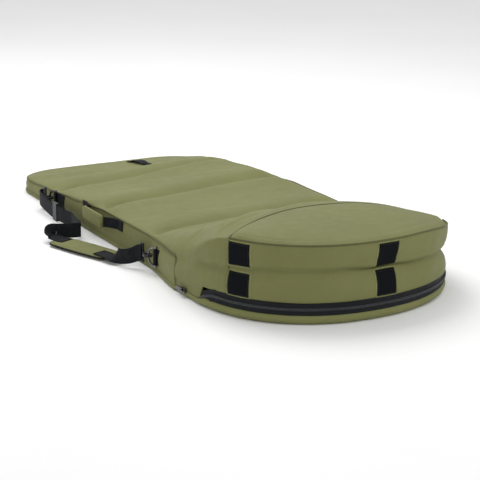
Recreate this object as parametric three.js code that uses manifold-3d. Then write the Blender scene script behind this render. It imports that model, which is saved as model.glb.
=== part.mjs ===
// A padded travel bag for a short board, lying flat: a thin quilted body that folds at soft creases, and a
// deep nose with a gusset, opened by a zip that runs around the nose.
// Millimetres. +Y points to the tail, -Y to the nose, +X to the right, +Z up. The origin is on the floor, on
// the centre line, under the crease where the body meets the nose.
import * as THREE from "three";
import { mergeVertices } from "three/addons/utils/BufferGeometryUtils.js";
import Module from "manifold-3d";

// ---- driving dimensions ----
const BODY_HALF_WIDTH = 276;
const NOSE_HALF_WIDTH = 300;
const FLARE_END_Y = -200;
const NOSE_CENTRE_Y = -265;
const NOSE_LENGTH = 275;
const NOSE_POWER = 2.2;
const SIDE_STEPS = 10;
const LID_FOLD_STEP = 7;
const LID_FOLD_Y = (NOSE_CENTRE_Y * LID_FOLD_STEP) / SIDE_STEPS;
const TAIL_END_Y = 812;
const TAIL_CORNER = 112;
const CREASE_MIDDLE_Y = 312;
const CREASE_TAIL_Y = 590;
const FOLD_HEIGHT = 74;
const MIDDLE_HEIGHT = 68;
const TAIL_CREASE_HEIGHT = 46;
const TAIL_HEIGHT = 32;
const CAP_HEIGHT = 170;
const CAP_DOME = 9;
const CAP_REAR_Y = -246;
const CAP_CORNER_X = 266;
const CAP_CORNER_Y = -376;
const GUSSET_CREASE_Z = 107;

const COVER = 3;
const FOAM = 7;
const LINING = 1;
const GAP = 0.3;
const WELT_RADIUS = 2.6;

const ZIP_NOSE_Z = 34;
const ZIP_SIDE_Z = 15;
const ZIP_DIP_FRONT_Y = -345;
const ZIP_DIP_REAR_Y = -275;
const ZIP_TAPE_WIDTH = 10;
const ZIP_TAPE = 1.5;
const TEETH_HEIGHT = 1.7;
const TEETH_STAND = 1.4;
const SLIDER_Y = -222;
const SLIDER = { length: 16, height: 11, depth: 4 };
const ARCH = { front: 2, rear: 14, leg: 2, rise: 5, limb: 1.4, thickness: 2.4 };
const PULL = { length: 26, height: 9, depth: 1.6, bar: 2, hole: 6.4, holeHeight: 3.2, stand: 1 };

const PATCH_SIZE = 50;
const PATCH_THICKNESS = 1.6;
const PATCH_STAND = 0.9;
const PATCH_RISE = 7;
const SIDE_PATCH_ARC = 317;
const CENTRE_PATCH_ARC = 12;

const WEB = 2.4;
const STRAP_WIDTH = 38;
const TAB = { width: 44, height: 38 };
const TABS = { front: { y: -92, z: 22 }, rear: { y: 487, z: 14 } };
const TAB_LOOP = 4.2;
const RING_WIRE = 2;
const RING_DEPTH = 26;
const RING_TILT = 25;
const HOOK = { outer: 12, inner: 8, thickness: 5, mouthFrom: 150, mouthTo: 215 };
const EYE = { length: 12, bar: 3.2, height: 46, thickness: 4 };
const SHANK_LENGTH = 7;
const GATE_HALF = 1.4;

const HANDLE = { front: 150, rear: 322, foot: 26, height: 26, stand: 26, z: 60 };
const GRIP = { length: 104, height: 34, depth: 9 };
const HAUL = { x: 64, front: 668, rear: 778, width: 25 };

const PAD = { length: 190, width: 70, thickness: 11 };
const ADJUSTER = { height: 46, length: 22, bar: 3, thickness: 7 };

const ADJUSTER_RUN = [[-314, 462], [-314, 412]];
const FLOOR_LIFT = 4;

// ---- materials ----
const cloth = (color) => new THREE.MeshStandardMaterial({ color, roughness: 0.85 });
const OLIVE = cloth(0x85865f);
const WEBBING = cloth(0x17191c);
const GREY_LINING = cloth(0x5b5e60);
const FOAM_WHITE = cloth(0xd9d9d2);
const BLACK_PLASTIC = new THREE.MeshStandardMaterial({ color: 0x101113, roughness: 0.4 });
const DARK_METAL = new THREE.MeshStandardMaterial({ color: 0x2a2b2e, roughness: 0.3, metalness: 1 });

const bag = new THREE.Group();
const wasm = await Module();
wasm.setup();

function add(name, geometry, material, x = 0, y = 0, z = 0, turnZ = 0) {
  const mesh = new THREE.Mesh(geometry, material);
  mesh.name = name;
  mesh.position.set(x, y, z);
  mesh.rotation.z = turnZ;
  bag.add(mesh);
  return mesh;
}

// ---- solids ----
function bare(geometry) {
  const copy = geometry.clone();
  copy.deleteAttribute("normal");
  copy.deleteAttribute("uv");
  return mergeVertices(copy, 1e-4);
}

function toManifold(geometry) {
  const merged = bare(geometry);
  return new wasm.Manifold(
    new wasm.Mesh({
      numProp: 3,
      vertProperties: new Float32Array(merged.attributes.position.array),
      triVerts: new Uint32Array(merged.index.array),
    }),
  );
}

function toGeometry(manifold) {
  const mesh = manifold.getMesh();
  return new THREE.BufferGeometry()
    .setAttribute("position", new THREE.BufferAttribute(mesh.vertProperties, 3))
    .setIndex(new THREE.BufferAttribute(mesh.triVerts, 1));
}

const cut = (from, ...tools) =>
  toGeometry(tools.reduce((solid, tool) => solid.subtract(toManifold(tool)), toManifold(from)));
const join = (first, ...others) =>
  toGeometry(others.reduce((solid, other) => solid.add(toManifold(other)), toManifold(first)));

// A closed solid through a row of four-or-more-cornered sections, each an array of [x, y, z].
function loft(sections) {
  const count = sections[0].length;
  const half = count / 2;
  const positions = sections.flat(2);
  const index = [];
  for (let i = 0; i + 1 < sections.length; i++)
    for (let k = 0; k < count; k++) {
      const a = i * count + k;
      const b = i * count + ((k + 1) % count);
      // The two long edges are split the same way, so that stacked plates lie on each other.
      if (k >= half && k < count - 1) index.push(a, b, a + count, b, b + count, a + count);
      else index.push(a, b, b + count, a, b + count, a + count);
    }
  // The end faces are strips between the section's two long edges.
  const last = (sections.length - 1) * count;
  for (let k = 0; k + 1 < half; k++) {
    const [a, b, c, d] = [k, k + 1, count - 2 - k, count - 1 - k];
    index.push(a, c, b, a, d, c);
    index.push(last + a, last + b, last + c, last + a, last + c, last + d);
  }
  const at = (i) => new THREE.Vector3(...positions.slice(3 * i, 3 * i + 3));
  let volume = 0;
  for (let i = 0; i < index.length; i += 3)
    volume += at(index[i]).dot(at(index[i + 1]).cross(at(index[i + 2])));
  if (volume < 0) index.reverse();
  return new THREE.BufferGeometry()
    .setAttribute("position", new THREE.Float32BufferAttribute(positions, 3))
    .setIndex(index);
}

function box(x0, x1, y0, y1, z0, z1) {
  const made = new THREE.BoxGeometry(x1 - x0, y1 - y0, z1 - z0);
  return made.translate((x0 + x1) / 2, (y0 + y1) / 2, (z0 + z1) / 2);
}

function extrude(shape, depth, curveSegments = 8) {
  return new THREE.ExtrudeGeometry(shape, { depth, bevelEnabled: false, curveSegments });
}

// ---- plan outline ----
const smooth = (t) => {
  const u = Math.min(1, Math.max(0, t));
  return u * u * (3 - 2 * u);
};

// Points down the right side of the nose, from the crease at y = 0 to the start of the round front.
function noseSide() {
  return stations(0, SIDE_STEPS - 1, 1).map((i) => {
    const y = (NOSE_CENTRE_Y * i) / SIDE_STEPS;
    return [BODY_HALF_WIDTH + (NOSE_HALF_WIDTH - BODY_HALF_WIDTH) * smooth(y / FLARE_END_Y), y];
  });
}

// The edge of the nose lid, from the left end of its fold round the front to its right end.
function nosePath() {
  const side = noseSide().slice(LID_FOLD_STEP);
  const front = [];
  const steps = 26;
  for (let i = 0; i <= steps; i++) {
    const t = Math.PI * (i / steps - 0.5);
    const x = Math.sign(Math.sin(t)) * Math.abs(Math.sin(t)) ** (2 / NOSE_POWER);
    const y = Math.abs(Math.cos(t)) ** (2 / NOSE_POWER);
    front.push([NOSE_HALF_WIDTH * x, NOSE_CENTRE_Y - NOSE_LENGTH * y]);
  }
  return [...side.map(([x, y]) => [-x, y]), ...front, ...side.reverse()];
}

// The body's edge, from the right end of the lid's fold round the tail to its left end.
function tailPath() {
  const half = [
    ...noseSide().slice(0, LID_FOLD_STEP + 1).reverse(),
    [BODY_HALF_WIDTH, CREASE_MIDDLE_Y],
    [BODY_HALF_WIDTH, CREASE_TAIL_Y],
  ];
  for (let i = 0; i <= 8; i++) {
    const t = (Math.PI / 2) * (i / 8);
    half.push([
      BODY_HALF_WIDTH - TAIL_CORNER * (1 - Math.cos(t)),
      TAIL_END_Y - TAIL_CORNER * (1 - Math.sin(t)),
    ]);
  }
  return [...half, ...half.map(([x, y]) => [-x, y]).reverse()];
}

// The path moved sideways; a positive inset goes towards the middle of the bag.
function inset(path, distance) {
  return path.map(([x, y], i) => {
    const [px, py] = path[Math.max(0, i - 1)];
    const [nx, ny] = path[Math.min(path.length - 1, i + 1)];
    const end = i === 0 || i === path.length - 1;
    const dx = end ? 0 : nx - px;
    const dy = end ? Math.sign(ny - py) : ny - py;
    const length = Math.hypot(dx, dy);
    return [x - (distance * dy) / length, y + (distance * dx) / length];
  });
}

const NOSE = nosePath();
const TAIL = tailPath();

// Half the width between the edges at y, that far in from the edge.
function halfWidth(y, distance) {
  const line = inset(y < LID_FOLD_Y ? NOSE : TAIL, distance).filter(([x]) => x >= 0);
  const path = line[0][1] < line[line.length - 1][1] ? line : line.reverse();
  for (let i = 0; i + 1 < path.length; i++) {
    const [[x0, y0], [x1, y1]] = [path[i], path[i + 1]];
    if (y >= y0 && y <= y1 && y1 > y0) return x0 + ((x1 - x0) * (y - y0)) / (y1 - y0);
  }
  return path[y < NOSE_CENTRE_Y ? 0 : path.length - 1][0];
}

// ---- heights ----
const BODY_PROFILE = [
  [0, FOLD_HEIGHT],
  [CREASE_MIDDLE_Y, MIDDLE_HEIGHT],
  [CREASE_TAIL_Y, TAIL_CREASE_HEIGHT],
  [TAIL_END_Y, TAIL_HEIGHT],
];

function bodyHeight(y) {
  const at = Math.max(0, BODY_PROFILE.findIndex(([py]) => y < py) - 1);
  const i = y >= TAIL_END_Y ? BODY_PROFILE.length - 2 : at;
  const [[y0, z0], [y1, z1]] = [BODY_PROFILE[i], BODY_PROFILE[i + 1]];
  return z0 + ((z1 - z0) * (Math.min(y, TAIL_END_Y) - y0)) / (y1 - y0);
}

// The curved seam between shoulder and cap.
const capRearY = (x) =>
  CAP_REAR_Y - (CAP_REAR_Y - CAP_CORNER_Y) * Math.min(1, Math.abs(x) / CAP_CORNER_X) ** 1.9;

function shoulderHeight(x, y) {
  return FOLD_HEIGHT + (CAP_HEIGHT - FOLD_HEIGHT) * smooth(Math.min(1, y / capRearY(x))) ** 0.9;
}

const edgeHeight = (x, y) => (y >= 0 ? bodyHeight(y) : shoulderHeight(x, y));
const zipHeight = (x, y) =>
  ZIP_SIDE_Z + (ZIP_NOSE_Z - ZIP_SIDE_Z) * smooth((y - ZIP_DIP_REAR_Y) / (ZIP_DIP_FRONT_Y - ZIP_DIP_REAR_Y));

// ---- walls and plates ----
// A wall that follows a path, between two insets and two heights.
function wall(path, outer, inner, low, high) {
  const [outside, inside] = [inset(path, outer), inset(path, inner)];
  return loft(
    path.map(([x, y], i) => {
      const [bottom, top] = [low(x, y), high(x, y)];
      return [
        [...outside[i], bottom],
        [...inside[i], bottom],
        [...inside[i], top],
        [...outside[i], top],
      ];
    }),
  );
}

function stations(from, to, spacing) {
  const count = Math.max(1, Math.round(Math.abs(to - from) / spacing));
  return Array.from({ length: count + 1 }, (_, i) => from + ((to - from) * i) / count);
}

// A plate that fills the outline between two stations, with its low and high faces given by height functions.
function plate(ys, distance, columns, low, high) {
  return loft(
    ys.map((y) => {
      const w = halfWidth(y, distance);
      const xs = stations(-w, w, (2 * w) / columns);
      return [...xs.map((x) => [x, y, low(x, y)]), ...xs.reverse().map((x) => [x, y, high(x, y)])];
    }),
  );
}

const clipPath = (path, keep) => path.filter(([x, y]) => keep(x, y));
const level = (z) => () => z;
const WALL_INNER = COVER;
const FILL_INSET = COVER + 3 * GAP;
const NOSE_TIP_Y = NOSE_CENTRE_Y - NOSE_LENGTH;
const BODY_STATIONS = [
  GAP,
  CREASE_MIDDLE_Y,
  CREASE_TAIL_Y,
  ...stations(TAIL_END_Y - TAIL_CORNER, TAIL_END_Y - FILL_INSET - 1, 12),
];
const NOSE_STATIONS = [
  ...stations(NOSE_TIP_Y + FILL_INSET + 1, NOSE_TIP_Y + 41, 9),
  ...stations(NOSE_TIP_Y + 60, NOSE_CENTRE_Y, 30),
  ...stations(NOSE_CENTRE_Y, 0, -NOSE_CENTRE_Y / SIDE_STEPS).slice(1, -1),
  -GAP,
];

function base() {
  const ys = [...NOSE_STATIONS, ...BODY_STATIONS];
  const layer = (z0, z1) => plate(ys, FILL_INSET, 1, level(z0), level(z1));
  const coverTop = COVER - 1;
  const foamTop = coverTop + GAP + FOAM;
  add("base_cover", layer(0, coverTop), OLIVE);
  add("base_foam", layer(coverTop + GAP, foamTop), FOAM_WHITE);
  add("base_lining", layer(foamTop + GAP, foamTop + GAP + LINING), GREY_LINING);
  const tapeBottom = ZIP_TAPE_WIDTH + TEETH_HEIGHT + GAP;
  add(
    "base_rim",
    wall(NOSE, 0, WALL_INNER, level(0), (x, y) => zipHeight(x, y) - tapeBottom - GAP),
    OLIVE,
  );
}

function bodyWalls() {
  const rows = [
    ["side_wall_right", clipPath(TAIL, (x, y) => x > 0 && y <= TAIL_END_Y - TAIL_CORNER)],
    ["side_wall_left", clipPath(TAIL, (x, y) => x < 0 && y <= TAIL_END_Y - TAIL_CORNER)],
    ["tail_wall", clipPath(TAIL, (x, y) => y >= TAIL_END_Y - TAIL_CORNER)],
  ];
  for (const [name, path] of rows) {
    const made = wall(path, 0, WALL_INNER, level(0), edgeHeight);
    // A hair is taken off each end, where a wall meets the next one and the nose lid.
    const trims = [box(-400, 400, LID_FOLD_Y - 1, LID_FOLD_Y + GAP, -1, 200)];
    if (name === "tail_wall") {
      const y = TAIL_END_Y - TAIL_CORNER;
      trims.push(box(-400, 400, y - 1, y + GAP, -1, 200));
    }
    add(name, cut(made, ...trims), OLIVE);
  }
  const edge = inset(TAIL, WELT_RADIUS).slice(1, -1);
  const line = edge.map(([x, y]) => [x, y, edgeHeight(x, y) + WELT_RADIUS + 3 * GAP]);
  add("body_welt", weltAlong(line), OLIVE);
}

// A cord-filled seam: a square-sided bead along a line of points.
function weltAlong(line) {
  const r = WELT_RADIUS;
  return loft(
    line.map(([x, y, z], i) => {
      const [px, py] = line[Math.max(0, i - 1)];
      const [nx, ny] = line[Math.min(line.length - 1, i + 1)];
      const length = Math.hypot(nx - px, ny - py);
      const [sx, sy] = [((ny - py) / length) * r, (-(nx - px) / length) * r];
      return [
        [x + sx, y + sy, z - r],
        [x - sx, y - sy, z - r],
        [x - sx, y - sy, z + r],
        [x + sx, y + sy, z + r],
      ];
    }),
  );
}

function bodyTop() {
  const sections = [
    ["front", GAP, CREASE_MIDDLE_Y],
    ["middle", CREASE_MIDDLE_Y, CREASE_TAIL_Y],
    ["tail", CREASE_TAIL_Y, TAIL_END_Y - FILL_INSET - 1],
  ];
  const under = (depth) => (x, y) => bodyHeight(y) - depth;
  for (const [name, y0, y1] of sections) {
    const inner = BODY_STATIONS.filter((y) => y > y0 + 1 && y < y1 - 1);
    const ys = [y0, ...inner, name === "tail" ? y1 : y1 - GAP];
    add(`${name}_top_cover`, plate(ys, FILL_INSET, 1, under(COVER), under(0)), OLIVE);
    const foam = plate(ys, FILL_INSET, 1, under(COVER + GAP + FOAM), under(COVER + GAP));
    add(`${name}_top_foam`, foam, FOAM_WHITE);
  }
  const depth = COVER + 2 * GAP + FOAM;
  const lining = plate(BODY_STATIONS, FILL_INSET, 1, under(depth + LINING), under(depth));
  add("body_top_lining", lining, GREY_LINING);
}

// ---- nose ----
// The part of the nose that the cap covers, as a prism; a positive margin makes it larger.
function capPrism(margin, z0, z1) {
  const shape = new THREE.Shape();
  const xs = stations(-CAP_CORNER_X - margin, CAP_CORNER_X + margin, 28);
  xs.forEach((x, i) => shape[i ? "lineTo" : "moveTo"](x, capRearY(x) + margin));
  const front = inset(NOSE, FILL_INSET + (margin > 0 ? -20 : 0));
  const kept = front.filter(([x, y]) => Math.abs(x) < CAP_CORNER_X + margin && y < CAP_CORNER_Y);
  kept.reverse().forEach(([x, y]) => shape.lineTo(x, y));
  shape.closePath();
  return extrude(shape, z1 - z0).translate(0, 0, z0);
}

// How far the walls of the nose lid reach: from the zip up to the gusset crease or the shoulder.
function noseWalls() {
  const tapeTop = (x, y) => zipHeight(x, y) + TEETH_HEIGHT + ZIP_TAPE_WIDTH + 2 * GAP;
  const trim = box(-400, 400, LID_FOLD_Y - GAP, LID_FOLD_Y + 1, -1, 400);
  const lower = wall(NOSE, 0, WALL_INNER, tapeTop, (x, y) => Math.min(GUSSET_CREASE_Z, edgeHeight(x, y)));
  add("lower_gusset", cut(lower, trim), OLIVE);
  const isFront = (x, y) => y < CAP_CORNER_Y;
  const upperLow = level(GUSSET_CREASE_Z + GAP);
  add("upper_gusset", wall(clipPath(NOSE, isFront), 0, WALL_INNER, upperLow, level(CAP_HEIGHT)), OLIVE);
  for (const [side, sign] of [["left", -1], ["right", 1]]) {
    const high = (x, y) => edgeHeight(x, y);
    const path = clipPath(NOSE, (x, y) => x * sign > 0 && y >= CAP_CORNER_Y - 2);
    add(`shoulder_side_${side}`, cut(wall(path, 0, WALL_INNER, upperLow, high), trim), OLIVE);
  }
}

function shoulder() {
  const front = stations(CAP_CORNER_Y - 2, LID_FOLD_Y - GAP, 24);
  const sides = noseSide().map(([, y]) => y).slice(1, LID_FOLD_STEP).reverse();
  const rear = [LID_FOLD_Y + GAP, ...sides, -GAP];
  const layer = (ys, top, bottom) => {
    const made = plate(
      ys,
      FILL_INSET,
      12,
      (x, y) => shoulderHeight(x, y) - bottom,
      (x, y) => shoulderHeight(x, y) - top,
    );
    return cut(made, capPrism(GAP, 0, 400));
  };
  for (const [name, ys] of [["shoulder_front", front], ["shoulder_rear", rear]]) {
    add(`${name}_cover`, layer(ys, 0, COVER), OLIVE);
    add(`${name}_foam`, layer(ys, COVER + GAP, COVER + GAP + FOAM), FOAM_WHITE);
  }
}

function cap() {
  const dome = (x, y) => {
    const across = Math.max(0, 1 - (x / CAP_CORNER_X) ** 2);
    const round = Math.max(0, 1 - Math.abs(x / NOSE_HALF_WIDTH) ** NOSE_POWER) ** (1 / NOSE_POWER);
    const front = NOSE_CENTRE_Y - NOSE_LENGTH * round + 3 * WELT_RADIUS;
    const along = Math.min(1, Math.max(0, (y - front) / (capRearY(x) - front)));
    return CAP_DOME * across * 4 * along * (1 - along);
  };
  const ys = [
    ...stations(NOSE_TIP_Y + FILL_INSET + 1, NOSE_TIP_Y + 41, 9),
    ...stations(NOSE_TIP_Y + 60, CAP_REAR_Y, 26),
  ];
  const layer = (top, bottom) => {
    const made = plate(
      ys,
      FILL_INSET,
      10,
      (x, y) => CAP_HEIGHT + dome(x, y) - bottom,
      (x, y) => CAP_HEIGHT + dome(x, y) - top,
    );
    return toGeometry(toManifold(made).intersect(toManifold(capPrism(0, 0, 400))));
  };
  add("cap_cover", layer(0, COVER), OLIVE);
  add("cap_foam", layer(COVER + GAP, COVER + GAP + FOAM), FOAM_WHITE);
  const front = clipPath(NOSE, (x, y) => y < CAP_CORNER_Y);
  const line = inset(front, WELT_RADIUS).map(([x, y]) => [x, y, CAP_HEIGHT + WELT_RADIUS + GAP]);
  add("cap_welt", weltAlong(line), OLIVE);
}

// Points along the nose's edge between two arc lengths, measured from the middle of the front.
function noseSpan(from, to) {
  const lengths = [0];
  for (let i = 1; i < NOSE.length; i++)
    lengths.push(lengths[i - 1] + Math.hypot(NOSE[i][0] - NOSE[i - 1][0], NOSE[i][1] - NOSE[i - 1][1]));
  const middle = lengths[lengths.length - 1] / 2;
  return stations(from + middle, to + middle, 12).map((s) => {
    const i = Math.max(1, lengths.findIndex((l) => l >= s));
    const t = (s - lengths[i - 1]) / (lengths[i] - lengths[i - 1]);
    return [0, 1].map((k) => NOSE[i - 1][k] + (NOSE[i][k] - NOSE[i - 1][k]) * t);
  });
}

// Three pairs of hook-and-loop patches that hold the gusset folded when the nose is packed flat.
function patches() {
  const middles = [["left", -SIDE_PATCH_ARC], ["centre", CENTRE_PATCH_ARC], ["right", SIDE_PATCH_ARC]];
  for (const [name, at] of middles) {
    const path = noseSpan(at - PATCH_SIZE / 2, at + PATCH_SIZE / 2);
    const [outer, inner] = [-PATCH_STAND - PATCH_THICKNESS, -PATCH_STAND];
    const upper = GUSSET_CREASE_Z + PATCH_RISE;
    const lower = GUSSET_CREASE_Z - PATCH_RISE;
    add(`hook_patch_${name}`, wall(path, outer, inner, level(upper), level(upper + PATCH_SIZE)), WEBBING);
    add(`loop_patch_${name}`, wall(path, outer, inner, level(lower - PATCH_SIZE), level(lower)), WEBBING);
  }
}

function zip() {
  const rows = [["upper", 1], ["lower", -1]];
  for (const [name, sign] of rows) {
    const near = (x, y) => zipHeight(x, y) + sign * GAP;
    const far = (x, y) => near(x, y) + sign * TEETH_HEIGHT;
    const tapeNear = (x, y) => far(x, y) + sign * GAP;
    const tapeFar = (x, y) => tapeNear(x, y) + sign * (ZIP_TAPE_WIDTH - GAP);
    const span = (a, b) => (sign > 0 ? [a, b] : [b, a]);
    const trim = box(-400, 400, LID_FOLD_Y - GAP, LID_FOLD_Y + 1, -1, 200);
    const teeth = wall(NOSE, -TEETH_STAND, WALL_INNER - 1, ...span(near, far));
    const tape = wall(NOSE, 1, 1 + ZIP_TAPE, ...span(tapeNear, tapeFar));
    add(`zip_teeth_${name}`, cut(teeth, trim), BLACK_PLASTIC);
    add(`zip_tape_${name}`, cut(tape, trim), WEBBING);
  }
  const face = -NOSE_HALF_WIDTH - TEETH_STAND - GAP;
  const body = box(-SLIDER.depth, 0, 0, SLIDER.length, -SLIDER.height / 2, SLIDER.height / 2);
  // An arch on the slider holds the pull: the pull's end bar turns inside it.
  const a = ARCH;
  const half = a.thickness / 2;
  const arch = cut(
    box(-SLIDER.depth - a.rise, -SLIDER.depth + 1, a.front, a.rear, -half, half),
    box(-SLIDER.depth - a.rise + a.limb, -SLIDER.depth, a.front + a.leg, a.rear - a.leg, -half - 1, half + 1),
  );
  add("zip_slider", join(body, arch), DARK_METAL, face, SLIDER_Y - SLIDER.length, ZIP_SIDE_Z);
  const p = PULL;
  const hole = box(-1, p.depth + 1, p.bar, p.bar + p.hole, -p.holeHeight / 2, p.holeHeight / 2);
  const tongue = cut(box(0, p.depth, 0, p.length, -p.height / 2, p.height / 2), hole);
  const pullX = face - SLIDER.depth - p.stand - p.depth;
  const barY = SLIDER_Y - SLIDER.length + (a.front + a.rear) / 2 - p.bar / 2;
  add("zip_pull", tongue, DARK_METAL, pullX, barY, ZIP_SIDE_Z);
}

// ---- carrying hardware on the left side ----
function leftWallX(y) {
  return -halfWidth(y, 0);
}

// Webbing that is sewn to the wall and folds round a ring's straight bar. Returns the bar's middle.
function ringTab(name, { y, z }) {
  const end = y + TAB.width / 2;
  const ys = stations(y - TAB.width / 2, y + TAB.width / 2, TAB.width / 4);
  const flat = loft(
    ys.map((at) => {
      const x = leftWallX(at) - GAP;
      return [
        [x - WEB, at, z],
        [x, at, z],
        [x, at, z + TAB.height],
        [x - WEB, at, z + TAB.height],
      ];
    }),
  );
  const wallX = leftWallX(end) - GAP;
  const skin = 1.4;
  const outer = box(-TAB_LOOP * 2, 0, -TAB_LOOP, TAB_LOOP, 0, TAB.height);
  const bore = box(-TAB_LOOP * 2 + skin, -skin, -TAB_LOOP + skin, TAB_LOOP - skin, -1, TAB.height + 1);
  const barY = end + TAB_LOOP - 0.5;
  add(`${name}_tab`, join(flat, cut(outer, bore).translate(wallX, barY, z)), WEBBING);
  return [wallX - TAB_LOOP, barY, z + TAB.height / 2];
}

// A D-ring: a straight upright bar and a bow that leans away from the wall. Returns the bow's middle.
function ring(name, [x, y, z]) {
  const h = TAB.height / 2 + 2 * RING_WIRE + 1.5;
  const reach = RING_DEPTH * 1.2;
  const bow = new THREE.Shape();
  bow.moveTo(-RING_WIRE, -h);
  bow.bezierCurveTo(reach, -h, reach, h, -RING_WIRE, h);
  bow.closePath();
  const window = new THREE.Path();
  const hi = h - 2 * RING_WIRE;
  const inner = reach - 2.6 * RING_WIRE;
  window.moveTo(RING_WIRE, -hi);
  window.bezierCurveTo(inner, -hi, inner, hi, RING_WIRE, hi);
  window.closePath();
  bow.holes.push(window);
  const made = extrude(bow, RING_WIRE * 2, 10).translate(0, 0, -RING_WIRE);
  // The outline is drawn with y as the height, then stood up along the wall.
  made.applyMatrix4(new THREE.Matrix4().makeBasis(
    new THREE.Vector3(0, 1, 0),
    new THREE.Vector3(0, 0, 1),
    new THREE.Vector3(1, 0, 0),
  ));
  const tilt = THREE.MathUtils.degToRad(RING_TILT);
  made.rotateZ(tilt);
  add(`${name}_ring`, made, DARK_METAL, x, y, z);
  const out = RING_DEPTH * 0.9 - RING_WIRE;
  return [x - out * Math.sin(tilt), y + out * Math.cos(tilt), z];
}

// A snap hook through the ring: a flat C, a shank and an eye for the strap, with a gate across the C's mouth.
function snapHook(name, [x, y, z]) {
  const centreY = y + HOOK.inner - RING_WIRE - 2;
  const at = (degrees, r) => {
    const a = (degrees * Math.PI) / 180;
    return [r * Math.cos(a), r * Math.sin(a)];
  };
  const c = new THREE.Shape();
  const steps = 18;
  const span = 360 - (HOOK.mouthTo - HOOK.mouthFrom);
  const turn = (i) => HOOK.mouthTo + (span * i) / steps;
  for (let i = 0; i <= steps; i++) c[i ? "lineTo" : "moveTo"](...at(turn(i), HOOK.outer));
  for (let i = steps; i >= 0; i--) c.lineTo(...at(turn(i), HOOK.inner));
  c.closePath();
  const half = HOOK.thickness / 2;
  const loop = extrude(c, HOOK.thickness).translate(0, 0, -half);
  const shankEnd = HOOK.outer + SHANK_LENGTH;
  const shank = box(-3, 3, HOOK.outer - 1, shankEnd, -half, half);
  add(`${name}_hook`, join(loop, shank), BLACK_PLASTIC, x, centreY, z);
  // The gate turns about its rounded end beside one side of the mouth and stops short of the other.
  const lower = at(HOOK.mouthTo, HOOK.inner);
  const gateX = (at(HOOK.mouthFrom, HOOK.outer)[0] + lower[0]) / 2 - 0.4;
  const face = Math.tan((HOOK.mouthFrom * Math.PI) / 180) * gateX;
  const lean = Math.cos(Math.PI - (HOOK.mouthFrom * Math.PI) / 180);
  const pivotY = face - (GATE_HALF + GAP) / lean;
  const tip = Math.hypot(lower[0] - gateX, lower[1] - pivotY) - GAP;
  const disc = (r) => toManifold(new THREE.CylinderGeometry(r, r, HOOK.thickness, 48).rotateX(Math.PI / 2));
  const bar = toManifold(box(-GATE_HALF, GATE_HALF, -HOOK.outer * 2, 0, -half, half));
  const gate = toGeometry(bar.add(disc(GATE_HALF)).intersect(disc(tip)).translate(gateX, pivotY, 0));
  add(`${name}_gate`, gate, DARK_METAL, x, centreY, z);
  const eyeY = centreY + shankEnd + GAP;
  const frame = box(-EYE.thickness / 2, EYE.thickness / 2, 0, EYE.length, -EYE.height / 2, EYE.height / 2);
  const slot = box(
    -EYE.thickness,
    EYE.thickness,
    EYE.bar,
    EYE.length - EYE.bar,
    -EYE.height / 2 + EYE.bar,
    EYE.height / 2 - EYE.bar,
  );
  add(`${name}_strap_eye`, cut(frame, slot), BLACK_PLASTIC, x, eyeY, z);
  return [x, eyeY + EYE.length - EYE.bar / 2, z];
}

function handle() {
  const wallX = leftWallX(HANDLE.front) - GAP;
  const middle = (HANDLE.front + HANDLE.rear) / 2;
  const [z0, z1] = [HANDLE.z - HANDLE.height / 2, HANDLE.z + HANDLE.height / 2];
  const feet = [
    ["handle_foot_front", HANDLE.front - HANDLE.foot, HANDLE.front],
    ["handle_foot_rear", HANDLE.rear, HANDLE.rear + HANDLE.foot],
  ];
  for (const [name, y0, y1] of feet) add(name, box(wallX - WEB, wallX, y0, y1, z0, z1), WEBBING);
  const inner = HANDLE.stand - WEB;
  const run = GRIP.length / 2 + 6;
  const bow = new THREE.Shape();
  const out = (offset) => [
    [-offset, HANDLE.front + GAP],
    [-HANDLE.stand - offset, middle - run],
    [-HANDLE.stand - offset, middle + run],
    [-offset, HANDLE.rear - GAP],
  ];
  [...out(0), ...out(WEB).reverse()].forEach(([x, y], i) => bow[i ? "lineTo" : "moveTo"](x, y));
  bow.closePath();
  add("handle_webbing", extrude(bow, HANDLE.height).translate(wallX, 0, z0), WEBBING);
  const gripX = wallX - inner - WEB - WEB / 2;
  const [gy0, gy1] = [middle - GRIP.length / 2, middle + GRIP.length / 2];
  const half = GRIP.depth / 2;
  const sleeve = cut(
    box(gripX - half, gripX + half, gy0, gy1, HANDLE.z - GRIP.height / 2, HANDLE.z + GRIP.height / 2),
    box(gripX - WEB / 2 - GAP, gripX + WEB / 2 + GAP, gy0 - 1, gy1 + 1, z0 - GAP, z1 + GAP),
  );
  add("handle_grip", sleeve, OLIVE);
}

// A short hauling strap along the top of the tail, sewn down at both ends with a slack middle.
function haulStrap() {
  const rise = 1.5;
  const line = stations(HAUL.front, HAUL.rear, (HAUL.rear - HAUL.front) / 8).map((y) => {
    const t = (y - HAUL.front) / (HAUL.rear - HAUL.front);
    const lift = rise * smooth((t - 0.15) * 4) * smooth((0.85 - t) * 4);
    return [y, bodyHeight(y) + GAP + lift];
  });
  const [x0, x1] = [HAUL.x - HAUL.width / 2, HAUL.x + HAUL.width / 2];
  const sections = line.map(([y, z]) => [
    [x0, y, z],
    [x1, y, z],
    [x1, y, z + WEB],
    [x0, y, z + WEB],
  ]);
  add("haul_strap", loft(sections), WEBBING);
}

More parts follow.
